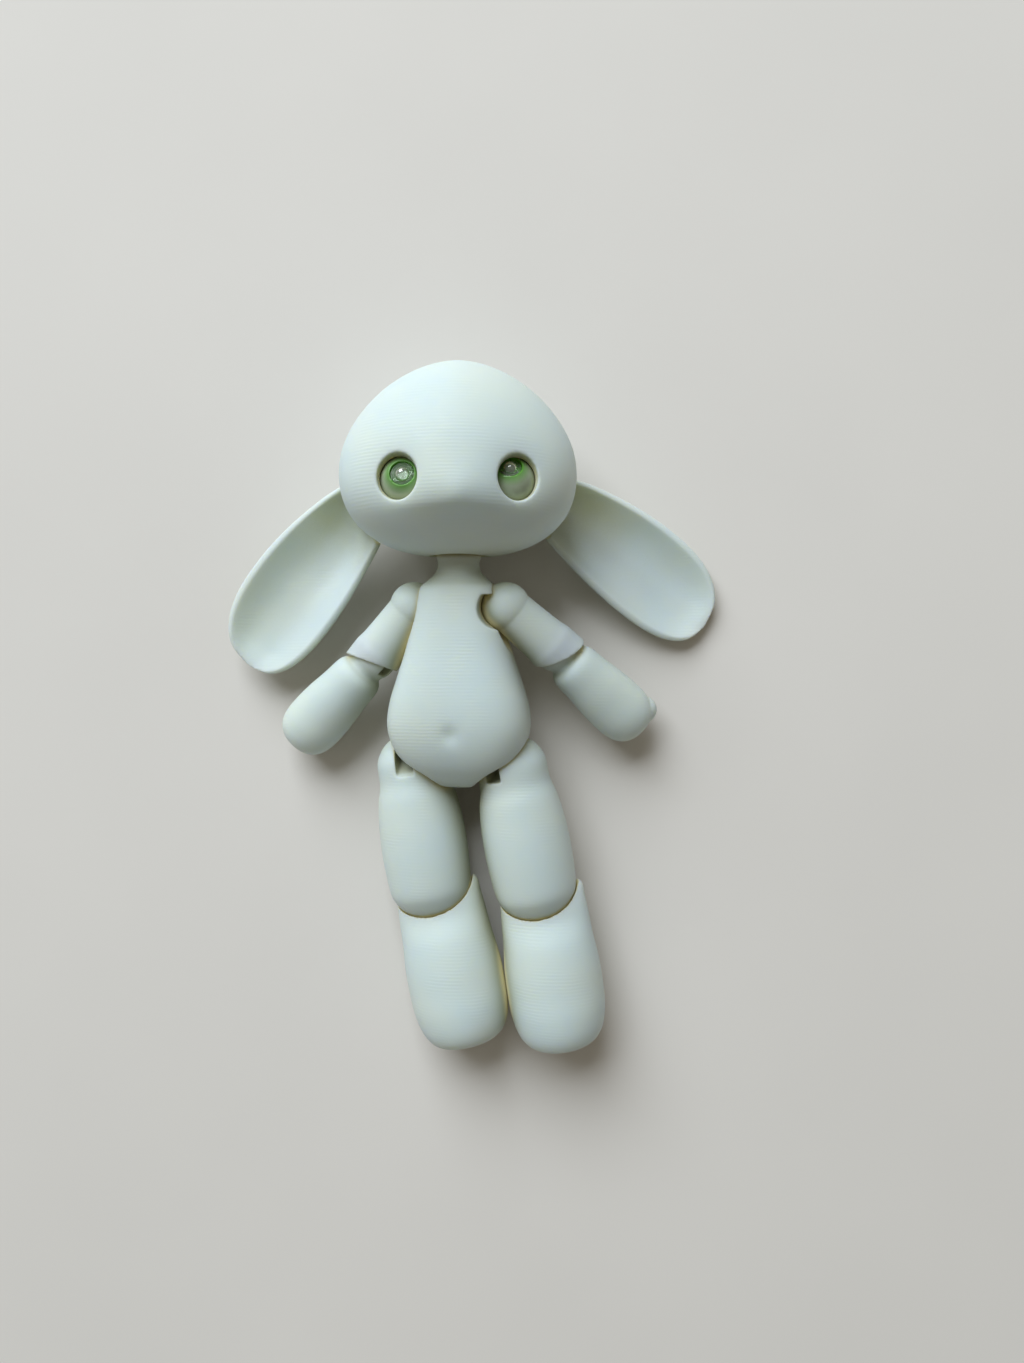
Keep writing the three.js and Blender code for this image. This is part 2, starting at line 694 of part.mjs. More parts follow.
// How far the head's egg reaches from its centre along a unit direction.
function headReach(d) {
  const power = head_power_share - head_power_change_share * Math.tanh(head_power_rate_share * d.y);
  const up = d.y > 0 ? head_above_centre : head_below_centre;
  const ahead = d.z > 0 ? head_front : head_back;
  const sum = [d.x / head_half_width, d.y / up, d.z / ahead]
    .reduce((total, share) => total + Math.abs(share) ** power, 0);
  return sum ** (-1 / power);
}

function swell(point, { across_share, up_share, wide_share, tall_share }) {
  const dx = (Math.abs(point.x) / head_half_width - across_share) / wide_share;
  const dy = (point.y / head_half_width - up_share) / tall_share;
  return Math.exp(-dx * dx - dy * dy);
}

function headSkin(inset) {
  return (around, t) => {
    const polar = Math.PI * t;
    const ring = t === 0 || t === 1 ? 0 : Math.sin(polar);
    const d = place(-Math.cos(around) * ring, Math.cos(polar), Math.sin(around) * ring);
    const point = d.clone().multiplyScalar(headReach(d) - inset);
    if (inset <= 0) {
      const front = THREE.MathUtils.smoothstep(d.z, 0, face_front_share);
      const face = muzzle_reach * swell(point, muzzle) + nose_reach * swell(point, nose)
        - eye_dimple_depth * swell(point, eye_dimple);
      point.z += front * face;
    }
    return point.add(centre);
  };
}

function behindSeam(gap) {
  const wide = head_half_width * 3;
  const geometry = new THREE.BoxGeometry(wide, wide, wide);
  geometry.translate(0, 0, -wide * 0.5 - cap_seam_behind_centre - gap);
  geometry.rotateX(radians(cap_lean));
  geometry.translate(centre.x, centre.y, centre.z);
  return solid(geometry);
}

const earPoint = (s) => place(s * ear_spread, -ear_below_centre, -ear_behind_centre).add(centre);
const eyePoint = (s) => place(s * eye_spread, -eye_below_centre, eye_ahead).add(centre);

function magnetDisc(s, radius, thickness, gap) {
  const geometry = new THREE.CylinderGeometry(radius, radius, thickness, magnet_sides);
  geometry.rotateX(Math.PI / 2);
  geometry.translate(s * magnet_spread, 0, -cap_seam_behind_centre + gap);
  geometry.rotateX(radians(cap_lean));
  geometry.translate(centre.x, centre.y, centre.z);
  return solid(geometry);
}

function eyeOpening(s) {
  const geometry = new THREE.CylinderGeometry(1, 1, head_front, opening_sides);
  geometry.scale(eye_opening_half_width, 1, eye_opening_half_height);
  geometry.rotateX(Math.PI / 2);
  geometry.translate(0, 0, head_front * 0.5);
  geometry.rotateY(radians(s * eye_opening_angle));
  geometry.translate(s * eye_opening_outward, 0, 0);
  const { x, y, z } = eyePoint(s);
  return solid(geometry.translate(x, y, z));
}

const head_outer = skin(face_detail, headSkin(0));

function headWhole() {
  const hollow = skin(middling, headSkin(head_wall));
  const cup = neck_ball_radius + joint_gap;
  let bosses = ball(cup + cup_wall);
  for (const { s } of sides) {
    bosses = bosses.add(ball(ear_ball_radius + joint_gap + cup_wall, earPoint(s)));
  }
  let body = head_outer.subtract(hollow).add(bosses.intersect(head_outer));
  body = body.subtract(ball(cup)).subtract(rod(cup, place(0, 0, 0), place(0, -cup * 2, 0), disc_sides));
  body = body.subtract(rod(neck_bore_radius, place(0, 0, 0), place(0, cup + cup_wall + overrun, 0)));
  for (const side of sides) {
    const { s } = side;
    const ear = earPoint(s);
    const turn = leaning(side.ear_lean, side.ear_drop);
    const way = down.clone().applyEuler(turn).multiplyScalar(ear_ball_radius * 4);
    body = body.subtract(ball(ear_ball_radius + joint_gap, ear));
    const mouth = ear_stem_radius + ear_mouth_spread;
    body = body.subtract(rod(mouth, ear, ear.clone().add(way), mouth_sides));
    const inward = place(-s * ear_spread, 0, 0).add(ear);
    body = body.subtract(rod(limb_bore_radius, ear, inward));
    body = body.subtract(ball(eye_radius + seat_gap, eyePoint(s))).subtract(eyeOpening(s));
  }
  return body;
}

const whole = headWhole();
let shell = whole.subtract(behindSeam(0));
let cap = whole.intersect(behindSeam(seam_gap));
for (const { s, name } of sides) {
  const pocket = magnet_radius + seat_gap;
  const depth = magnet_thickness + seat_gap;
  shell = shell.subtract(magnetDisc(s, pocket, depth * 2, 0));
  cap = cap.subtract(magnetDisc(s, pocket, depth * 2, -seam_gap));
  const front = magnetDisc(s, magnet_radius, magnet_thickness, magnet_thickness * 0.5);
  addPiece(head, `head_magnet_${name}`, front, nickel);
  const back = magnetDisc(s, magnet_radius, magnet_thickness, -seam_gap - magnet_thickness * 0.5);
  addPiece(head, `cap_magnet_${name}`, back, nickel);
}
addPiece(head, 'head_shell', shell, resin);
addPiece(head, 'head_cap', cap, resin);

// The hook bar over the neck hole and the loop of elastic that pulls the head down.
const cup_top = neck_ball_radius + joint_gap + cup_wall;
const hook_height = Math.sqrt(cup_top ** 2 - neck_bore_radius ** 2) + hook_radius + seat_gap;
const hook_ends = [-1, 1].map((s) => place(s * hook_length * 0.5, hook_height, 0));
addPiece(head, 'neck_hook', rod(hook_radius, ...hook_ends), steel);
const loop_reach = hook_radius + arm_cord_radius + seat_gap;
const loop_side = [
  place(0, neck_ball_radius + cord_gap, neck_bore_radius - arm_cord_radius * 1.6),
  place(0, cup_top - hook_radius, neck_bore_radius - arm_cord_radius * 1.5),
  place(0, hook_height, loop_reach),
  place(0, hook_height + loop_reach * 0.75, loop_reach * 0.7),
];
const loop_far = loop_side.map((point) => place(point.x, point.y, -point.z)).reverse();
const loop_path = [...loop_side, place(0, hook_height + loop_reach, 0), ...loop_far];
addPiece(head, 'neck_hook_loop', cord(arm_cord_radius, loop_path, hook_loop_steps), elastic);

// Eyes, each turned about its own centre and bedded in putty.
function eyeDisc(radius, from, to) {
  return rod(radius, place(0, 0, from), place(0, 0, to), disc_sides);
}

for (const side of sides) {
  const { s, name } = side;
  const gaze = new THREE.Euler(radians(-side.gaze_up), radians(side.gaze_across), 0);
  const eye = groupAt(head, eyePoint(s), gaze);
  const face = eye_radius - iris_depth;
  const pocket = eyeDisc(iris_radius + seat_gap * 0.5, face - iris_thickness, eye_radius + overrun);
  addPiece(eye, `eye_white_${name}`, ball(eye_radius).subtract(pocket), sclera);
  const disc = eyeDisc(iris_radius, face - iris_thickness + seat_gap * 0.5, face);
  addPiece(eye, `eye_iris_${name}`, disc, iris);
  const lens = eyeDisc(iris_radius, face + seat_gap * 0.5, eye_radius + overrun);
  addPiece(eye, `eye_dome_${name}`, lens.intersect(ball(eye_radius + dome_bulge)), clear);

  const behind = eyePoint(s).add(place(0, 0, -eye_radius * 0.75));
  const socket = ball(eye_radius + seat_gap, eyePoint(s));
  const lump = ball(putty_radius, behind, coarse).subtract(socket);
  addPiece(head, `eye_putty_${name}`, lump.subtract(whole), putty);
}

// Ears: a spoon on a ball stem, and the elastic that pulls both into the head.
function earSkin(s) {
  return (around, t) => {
    const [width, thick, scoop, height] = through(ear_shares, t);
    const across = -Math.cos(around);
    const hollow = scoop * ear_scoop * (1 - across * across) ** ear_hollow_power_share;
    const x = across * width * ear_half_width + s * ear_bow * Math.sin(Math.PI * t);
    const z = 0.5 * thick * ear_thickness * Math.sin(around) - hollow;
    return place(x, -height * ear_length, z);
  };
}

for (const side of sides) {
  const { s, name } = side;
  const ear = groupAt(head, earPoint(s), leaning(side.ear_lean, side.ear_drop));
  const stem_end = place(0, -ear_length * ear_stem_share, 0);
  let body = skin(ear_detail, earSkin(s));
  ear.updateMatrix();
  const rest = ear.matrix.clone().invert();
  for (const flap of [-ear_flap_angle, 0, ear_flap_angle]) {
    const turned_head = new THREE.Matrix4().makeRotationX(radians(flap)).multiply(rest);
    const swollen = skin(face_detail, headSkin(-ear_root_gap)).transform(turned_head.elements);
    body = body.subtract(swollen);
  }
  body = body.add(ball(ear_ball_radius, place(0, 0, 0), coarse));
  body = body.add(rod(ear_stem_radius, place(0, 0, 0), stem_end, stem_sides));
  addPiece(ear, `ear_${name}`, body, resin);
}
const ear_run = [-1, 1].map((s) => earPoint(s).add(place(-s * (ear_ball_radius + cord_gap), 0, 0)));
addPiece(head, 'ear_cord', rod(arm_cord_radius, ...ear_run, cord_sides), elastic);

const box = new THREE.Box3().setFromObject(doll, true);
const middle = box.getCenter(place(0, 0, 0));
doll.position.set(-middle.x, -middle.y, -box.min.z);

export default doll;
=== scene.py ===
"""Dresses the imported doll: cast resin skins, glass eyes, worked materials, light and camera."""

import json
import math

import bpy
import numpy as np
from bpy.props import FloatProperty, FloatVectorProperty, PointerProperty
from mathutils import Matrix, Vector


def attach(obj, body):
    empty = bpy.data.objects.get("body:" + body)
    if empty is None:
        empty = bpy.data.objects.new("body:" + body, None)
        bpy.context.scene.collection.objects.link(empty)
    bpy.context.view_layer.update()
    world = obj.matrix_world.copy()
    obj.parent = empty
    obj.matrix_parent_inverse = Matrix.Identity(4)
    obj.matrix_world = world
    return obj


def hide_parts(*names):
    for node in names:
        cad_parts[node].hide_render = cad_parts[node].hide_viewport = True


bl_info = {
    "name": "Ball jointed doll",
    "version": (1, 0, 0),
    "blender": (4, 5, 0),
    "location": "3D View > Sidebar > Doll",
    "description": "Builds the doll's resin skins, eyes, fittings and studio round its frame",
    "category": "Add Mesh",
}

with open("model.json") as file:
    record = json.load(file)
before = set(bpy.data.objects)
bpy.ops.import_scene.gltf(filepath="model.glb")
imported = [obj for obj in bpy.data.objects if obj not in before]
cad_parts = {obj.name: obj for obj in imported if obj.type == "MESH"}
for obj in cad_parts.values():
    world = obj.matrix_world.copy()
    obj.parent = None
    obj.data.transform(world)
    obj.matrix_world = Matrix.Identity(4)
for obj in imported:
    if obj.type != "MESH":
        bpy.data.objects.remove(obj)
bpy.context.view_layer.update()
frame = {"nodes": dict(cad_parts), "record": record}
BEHAVIOUR = frame["record"]["behaviour"]
BODIES = BEHAVIOUR["bodies"]
PIVOTS = {joint["name"]: Vector(joint["pos_m"]) * 1000 for joint in BEHAVIOUR["joints"]}
SLOTS = {entry["node"]: entry["material_slot"] for entry in frame["record"]["subparts"]}

# Shapes are in millimetres and degrees, in each limb's own frame, and are placed in metres.
MM = 0.001
SIDES = {
    "right": dict(
        s=-1, arm_lean=-39, arm_drop=11, forearm_lean=-5, elbow_turn=60, thumb_turn=110,
        leg_lean=8.6, leg_drop=-0.4, shin_lean=3.4, hip_slot_turn=-9, hip_fill=1.5, knee_turn=4,
        ear_lean=-38.3, ear_drop=7.5, gaze_across=-6, gaze_up=11,
    ),
    "left": dict(
        s=1, arm_lean=50, arm_drop=15, forearm_lean=-2, elbow_turn=-105, thumb_turn=0,
        leg_lean=11.2, leg_drop=2.6, shin_lean=-2.9, hip_slot_turn=-36, hip_fill=1.1, knee_turn=-24,
        ear_lean=53.3, ear_drop=7.5, gaze_across=-2, gaze_up=32,
    ),
}
JOINT_GAP, SEAT_GAP = 0.09, 0.1
BORE, ARM_BORE, HIP_BORE = 0.7, 0.85, 1.15
SLOT_FLOOR = 0.6
OVERRUN = 1.5

# Face sizes of the cast skins, and how many times each kind is smoothed.
GRAIN, ARM_GRAIN, EAR_GRAIN, CAP_GRAIN, EYE_GRAIN = 0.13, 0.11, 0.12, 0.1, 0.09
SOFTNESS, SHELL_SOFTNESS, EAR_SOFTNESS, EYE_SOFTNESS = 4, 7, 5, 2

# Points round and along the larger surfaces.
TORSO_GRID, HEAD_GRID, EAR_ROOT_GRID = (240, 200), (300, 220), (120, 90)

# Torso
TORSO_PITCH, TORSO_TURN = 5.2, 9
TORSO_HALF_WIDTH, TORSO_FRONT, TORSO_BACK = 7.3, 5.0, 4.9
TORSO_BELOW_HIPS, TORSO_ABOVE_HIPS = 1.65, 20.0
TORSO_SQUARENESS, NECK_SHARES = 0.9, (0.93, 1.03)
NAVEL_HEIGHT, NAVEL_RADIUS, NAVEL_DEPTH = 4.3, 0.9, 0.25
NECK_PIVOT, NECK_BALL, NECK_BORE, NECK_BORE_FOOT, NECK_FLARE = 23.8, 2.4, 1.25, 9.0, 1.1

# Torso rows: half width, front depth, back depth and height, as shares of the torso's own sizes.
TORSO_ROWS = (
    (0, 0, 0, 0), (0.3, 0.36, 0.24, 0.014), (0.59, 0.62, 0.46, 0.072), (0.8, 0.8, 0.68, 0.132),
    (0.94, 0.93, 0.88, 0.21), (1, 1, 1, 0.303), (0.96, 1, 0.96, 0.409), (0.85, 0.94, 0.88, 0.529),
    (0.74, 0.86, 0.82, 0.644), (0.65, 0.78, 0.78, 0.76), (0.595, 0.69, 0.7, 0.871),
    (0.53, 0.6, 0.58, 0.945), (0.4, 0.5, 0.5, 0.985), (0.31, 0.44, 0.44, 1.02),
    (0.288, 0.42, 0.43, 1.06), (0.288, 0.42, 0.43, 1.1), (0, 0, 0, 1.13),
)

# Arms
SHOULDER = (4.75, 16.9, 0.4)
SHOULDER_BALL, SHOULDER_SLOT = 2.5, (1.2, 3.6)
ARMHOLE_LEAN, ARMHOLE_REACH = 38, 7
UPPER_ARM_LENGTH, ARM_WAIST, ARM_END = 6.9, 2.3, 2.65
ELBOW_BALL, ELBOW_RIM_TILT, ELBOW_RIM_REACH = 2.3, 22, 0.55
ELBOW_ANGLES = (0, 25, 50, 75, 100, 120)
FOREARM_LENGTH, FOREARM_RADIUS, FOREARM_SLOT = 12.9, 3.15, 1.2
FOREARM_NECK, FOREARM_NECK_SHARE = 1.95, 0.125
HAND_DEPTH, HAND_SHARES = 0.86, (0.2, 0.7)
THUMB_RADIUS, THUMB_ACROSS, THUMB_ALONG = 1.45, 0.53, 0.9

# The notch before the ball of the doll's left shoulder
NOTCH_RADIUS, NOTCH_TOP = 2.3, 1.25

# Forearm rows: radius and distance from the elbow, as shares of the forearm's own sizes.
FOREARM_ROWS = (
    (0.76, 0.165), (0.84, 0.22), (0.885, 0.36), (0.965, 0.53), (1, 0.69), (0.97, 0.82),
    (0.82, 0.92), (0.5, 0.985), (0, 1),
)

# Legs
HIP = (5.3, 0, 1.3)
HIP_BALL, HIP_SLOT, HIP_ANGLES = 3.7, 1.8, (0, 20, 40, 60, 80)
HIP_FILL_TILT, HIP_FILL_SIZE = 33, 6.0
CORD_SWEEP, CORD_REACH_SHARE = (8, 16, 24, 32), 1.2
THIGH_RELIEF = (4.35, 1.5, 0.3)
THIGH_LENGTH, THIGH_RADIUS = 11.75, 4.5
THIGH_DEPTH, THIGH_SHARES = 0.93, (0, 0.5)
KNEE_BALL, KNEE_RELIEF, KNEE_ANGLES = 4.35, (4.62, (0, 0.4, 0)), (75, 58, 40, 20, 0)
SHIN_LENGTH, SHIN_HALF_WIDTH, SHIN_FRONT, SHIN_BACK, SHIN_OFFSET = 17.6, 5.05, 4.6, 4.3, 0.55
SOLE_FLAT = 0.16
ANKLE_PIN, WRIST_PIN_SHARE, PIN_RADIUS = 3.2, 0.62, 0.4

# Thigh rows: radius and distance from the hip, as shares of the thigh's own sizes.
THIGH_ROWS = ((0.82, 0.12), (0.915, 0.28), (0.98, 0.48), (1, 0.7), (0.985, 0.9))

# Shin rows: half width, front depth, back depth and distance from the knee, as shares.
SHIN_ROWS = (
    (0, 0, 0, 0.005), (0.6, 0.12, 0.3, 0.012), (0.85, 0.28, 0.62, 0.05), (0.885, 0.52, 0.8, 0.14),
    (0.91, 0.64, 0.88, 0.24), (0.935, 0.82, 0.94, 0.36), (0.985, 0.92, 0.97, 0.5),
    (1, 0.97, 1, 0.64), (0.98, 1, 1, 0.78), (0.88, 0.94, 0.9, 0.9), (0.7, 0.78, 0.72, 0.97),
    (0.4, 0.46, 0.42, 0.998), (0, 0, 0, 1),
)

# Head
HEAD_TURN = 2.3
HEAD_CENTRE = (0, 5.95, 1.4)
HEAD_HALF_WIDTH, HEAD_UP, HEAD_DOWN, HEAD_FRONT, HEAD_BACK = 11.8, 11.4, 8.0, 8.9, 9.7
HEAD_POWER, HEAD_POWER_CHANGE, HEAD_POWER_RATE = 2.1, 0.28, 3
HEAD_WALL, CUP_WALL = 2.0, 1.1
FACE_SHARES = (0, 0.5)

# Hills of the face: place across and up, spread across, above and below, all as shares of the
# head's half width, and then the height in millimetres.
MUZZLE = (0, -0.335, 0.42, 0.3, 0.08, 0.85)
NOSE = (0, -0.3, 0.12, 0.16, 0.07, 0.2)
EYE_DIMPLE = (0.5, -0.13, 0.22, 0.25, 0.25, -0.5)
CHIN_DIP = (0, -0.6, 0.6, 0.2, 0.3, -0.75)
FACE_HILLS = (MUZZLE, NOSE, EYE_DIMPLE, CHIN_DIP)

# Eyes
EYE_CENTRE = (4.95, 1.5, 5.0)
EYE_RADIUS, EYE_OPENING, EYE_OPENING_OUTWARD, EYE_SPLAY = 2.45, (1.8, 1.96), 0.3, 10
EYE_LID, EYE_FLARE = 1.35, 0.11
IRIS_RADIUS, IRIS_THICKNESS, IRIS_DEPTH = 1.1, 0.3, 0.75
BEAD_RADIUS, BEAD_FLANGE = 0.74, 0.12

# Head cap
CAP_LEAN, CAP_BEHIND, SEAM_GAP = 25, 6.8, 0.15
MAGNET_RADIUS, MAGNET_THICKNESS, MAGNET_SPREAD = 0.6, 0.8, 6.7
MAGNET_GAP, MAGNET_SWELL = 0.04, 0.95

# Ears
EAR_BALL, EAR_STEM, EAR_STEM_SHARE, EAR_MOUTH = 1.5, 0.9, 0.16, 0.68
EAR_ROOT_GAP, EAR_FLAP = 0.42, 10
EAR_CENTRE = (8.3, 1.0, 4.4)
EAR_LENGTH, EAR_HALF_WIDTH, EAR_THICKNESS, EAR_BOW = 22.9, 5.15, 1.5, 0.7
EAR_SCOOP_FRONT, EAR_SCOOP_BACK, EAR_RIM = 2.75, 1.85, 0.88
EAR_HOLLOW_POWERS, EAR_FACE_POWER = (2.6, 1.2), 0.8

# Ear rows: half width, thickness, scoop and distance from the ball, as shares of the ear's sizes.
EAR_ROWS = (
    (0, 0, 0, 0), (0.5, 1, 0.15, 0.03), (0.68, 1, 0.62, 0.12), (0.82, 1, 1.05, 0.25),
    (0.94, 1, 1.05, 0.41), (1, 1, 0.86, 0.58), (0.97, 1, 0.74, 0.75), (0.81, 0.95, 0.55, 0.88),
    (0.5, 0.8, 0.25, 0.965), (0, 0, 0, 1),
)

# Stage and materials, in metres but for the sensor's millimetres
FLOOR_HALF, CLIP_START, SENSOR_WIDTH = 0.6, 0.001, 36
# Reaches of the painted shade laid into cracks and slots, and into wide hollows.
CRACK_SHADE_REACH, HOLLOW_SHADE_REACH = 0.0011, 0.006


# Frames of the limbs

def turned_frame(origin, rotation):
    return Matrix.Translation(origin) @ rotation.to_4x4()


def euler(x=0, y=0, z=0):
    """Turns about the frame's own X, then Y, then Z axes, as the product of the three in that order."""
    about = Matrix.Rotation
    rotation = about(math.radians(x), 3, "X") @ about(math.radians(y), 3, "Y")
    return rotation @ about(math.radians(z), 3, "Z")


def leaning(lean, drop):
    """A limb along -Y that leans about Z and drops behind by turning about its own X."""
    return Matrix.Rotation(math.radians(lean), 3, "Z") @ Matrix.Rotation(math.radians(drop), 3, "X")


def torso_frame():
    rotation = euler(TORSO_PITCH, -TORSO_TURN)
    shoulders = (PIVOTS["shoulder_swing_right"] + PIVOTS["shoulder_swing_left"]) / 2
    return turned_frame(shoulders - rotation @ Vector((0, SHOULDER[1], -SHOULDER[2])), rotation)


def limb_frame(name, part):
    side = SIDES[name]
    arm = leaning(side["arm_lean"], side["arm_drop"])
    leg = leaning(side["leg_lean"], side["leg_drop"])
    if part == "upper_arm":
        return turned_frame(PIVOTS[f"shoulder_raise_{name}"], arm)
    if part == "forearm":
        return turned_frame(PIVOTS[f"elbow_{name}"], arm @ euler(z=side["forearm_lean"]))
    if part == "thigh":
        return turned_frame(PIVOTS[f"hip_flex_{name}"], leg)
    return turned_frame(PIVOTS[f"knee_{name}"], leg @ euler(z=side["shin_lean"]))


def head_frame():
    return turned_frame(PIVOTS["neck_nod"], euler(y=HEAD_TURN))


def ear_frame(name):
    side = SIDES[name]
    rotation = euler(y=HEAD_TURN) @ leaning(side["ear_lean"], side["ear_drop"])
    return turned_frame(PIVOTS[f"ear_flap_{name}"], rotation)


# Surfaces

def through(rows, t):
    """A cubic curve through a table's rows, at shares t of the way along it.

    Its slope at each row is half the difference between the rows on either side.
    """
    rows = np.asarray(rows, float)
    last = len(rows) - 1
    at = np.clip((t * last).astype(int), 0, last - 1)
    f = (t * last - at)[..., None]
    a, b, c, d = (rows[np.clip(at + k, 0, last)] for k in (-1, 0, 1, 2))
    bend = 2 * a - 5 * b + 4 * c - d + f * (3 * (b - c) + d - a)
    curve = b + 0.5 * f * (c - a + f * bend)
    return np.moveaxis(curve, -1, 0)


def smoothstep(x, low, high):
    """Rises from 0 at low to 1 at high, as three squares less two cubes of the share between."""
    f = np.clip((x - low) / (high - low), 0, 1)
    return f * f * (3 - 2 * f)


def closed_grid(points):
    """Vertices and faces of rings from pole to pole: points are indexed by ring place, then ring."""
    around, rings = points.shape[0], points.shape[1] - 2
    inner = points[:, 1:-1].reshape(-1, 3)
    vertices = np.concatenate([points[:1, 0], inner, points[:1, -1]])
    i, j = np.arange(around)[:, None], np.arange(rings - 1)[None, :]
    a = 1 + i * rings + j
    b = 1 + (i + 1) % around * rings + j
    quads = np.stack([a, a + 1, b + 1, b], -1).reshape(-1, 4)
    first, last = 1 + i[:, 0] * rings, (i[:, 0] + 1) * rings
    poles = [
        np.stack([np.zeros_like(first), first, np.roll(first, -1)], -1),
        np.stack([np.full_like(last, len(vertices) - 1), np.roll(last, -1), last], -1),
    ]
    return vertices, quads.tolist() + poles[0].tolist() + poles[1].tolist()


def skin(where, around=160, along=120):
    """A closed surface: where(turn, t) gives points for a turn round it and a share t along it."""
    turn = np.linspace(0, 2 * np.pi, around, endpoint=False)[:, None]
    t = np.linspace(0, 1, along + 1)[None, :]
    return closed_grid(where(*np.broadcast_arrays(turn, t)))


def lathe(outline, around=96):
    """Radius and height pairs turned about the Y axis: each ring is the radius times the turn's
    cosine and sine, and the outline runs from the axis back to the axis."""
    radius, height = np.asarray(outline, float).T
    turn = np.linspace(0, 2 * np.pi, around, endpoint=False)[:, None]
    x, z = -radius * np.cos(turn), radius * np.sin(turn)
    return closed_grid(np.stack([x, np.broadcast_to(height, x.shape), z], -1))


def ball(radius, centre=(0, 0, 0), around=96):
    """Every point lies at one distance from the centre."""
    def where(turn, t):
        ring = radius * np.sin(np.pi * t)
        return np.stack([
            centre[0] - ring * np.cos(turn),
            centre[1] + radius * np.cos(np.pi * t),
            centre[2] + ring * np.sin(turn),
        ], -1)
    return skin(where, around, around // 2)


def bar(radius, start, end, around=48):
    """A straight round bar: a profile of one radius, turned from Y to run from start to end."""
    start, run = Vector(start), Vector(end) - Vector(start)
    vertices, faces = lathe([(0, run.length), (radius, run.length), (radius, 0), (0, 0)], around)
    turn = Vector((0, 1, 0)).rotation_difference(run).to_matrix()
    return vertices @ np.array(turn).T + np.array(start), faces


def block(size, centre, rotation=None):
    """A box of the given size about a centre, then turned about the frame's origin."""
    corners = np.array([[x, y, z] for x in (-1, 1) for y in (-1, 1) for z in (-1, 1)]) * 0.5
    vertices = corners * np.array(size) + np.array(centre)
    if rotation is not None:
        vertices = vertices @ np.array(rotation).T
    faces = [[0, 1, 3, 2], [4, 6, 7, 5], [0, 4, 5, 1], [2, 3, 7, 6], [0, 2, 6, 4], [1, 5, 7, 3]]
    return vertices, faces


def moved(surface, matrix):
    """The same surface with its vertices carried by a matrix."""
    vertices, faces = surface
    matrix = np.array(matrix)
    return vertices @ matrix[:3, :3].T + matrix[:3, 3], faces


def cap_rows(radius, limb_radius, limb_length, angles):
    """Radius and height shares over a ball's cap: its radius times each angle's sine and cosine."""
    angles = np.radians(angles)
    radii = radius / limb_radius * np.sin(angles)
    return list(zip(radii, -radius / limb_length * np.cos(angles)))


# Pieces

def rough_object(name, surface):
    """An object in millimetres for modifiers to work on."""
    vertices, faces = surface
    mesh = bpy.data.meshes.new(name)
    mesh.from_pydata(vertices.tolist(), [], faces)
    piece = bpy.data.objects.new(name, mesh)
    bpy.context.scene.collection.objects.link(piece)
    return piece


def combined(surface, joins=(), cuts=(), keep=None):
    """Joins and cuts closed surfaces in turn, and gives the result's vertices and faces."""
    steps = [("UNION", other) for other in joins] + [("DIFFERENCE", other) for other in cuts]
    if keep is not None:
        steps.append(("INTERSECT", keep))
    base = rough_object("base", surface)
    tools = []
    for operation, other in steps:
        tools.append(rough_object("tool", other))
        modifier = base.modifiers.new(operation, "BOOLEAN")
        modifier.operation = operation
        modifier.solver = "MANIFOLD"
        modifier.object = tools[-1]
    evaluated = base.evaluated_get(bpy.context.evaluated_depsgraph_get())
    mesh = evaluated.to_mesh()
    points = np.empty(len(mesh.vertices) * 3)
    mesh.vertices.foreach_get("co", points)
    faces = [list(polygon.vertices) for polygon in mesh.polygons]
    evaluated.to_mesh_clear()
    discard(base, *tools)
    if not faces:
        raise RuntimeError("a cut left nothing of a piece")
    return points.reshape(-1, 3), faces


def cast(surface, grain=GRAIN, softness=SOFTNESS):
    """Lays an even skin of small faces over a closed surface and rounds its edges softly."""
    base = rough_object("base", surface)
    remesh = base.modifiers.new("Skin", "REMESH")
    remesh.mode = "VOXEL"
    remesh.voxel_size = grain * bpy.context.scene.doll_look.coarseness
    soften = base.modifiers.new("Soften", "SMOOTH")
    soften.factor = 0.5
    soften.iterations = softness
    evaluated = base.evaluated_get(bpy.context.evaluated_depsgraph_get())
    mesh = bpy.data.meshes.new_from_object(evaluated)
    discard(base)
    return mesh


def discard(*objects):
    for piece in objects:
        mesh = piece.data
        bpy.data.objects.remove(piece)
        bpy.data.meshes.remove(mesh)


def finish_piece(name, mesh, place, node, material):
    """Places the mesh in the shared frame in metres and lets it stand for its node."""
    mesh.name = name
    mesh.transform(Matrix.Scale(MM, 4) @ place)
    mesh.polygons.foreach_set("use_smooth", [True] * len(mesh.polygons))
    mesh.update()
    mesh.materials.clear()
    mesh.materials.append(material)
    piece = bpy.data.objects.new(name, mesh)
    bpy.context.scene.collection.objects.link(piece)
    body = next(body for body, nodes in BODIES.items() if node in nodes)
    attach(piece, body)
    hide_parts(node)


def front_slot(width, reach, turn, way=1):
    """A slot from a ball's centre towards its limb's end and one face, turned about the limb."""
    size = (width, reach + SLOT_FLOOR, reach + SLOT_FLOOR)
    shift = 0.5 * (reach - SLOT_FLOOR) * way
    return block(size, (0, shift, shift), euler(y=turn))


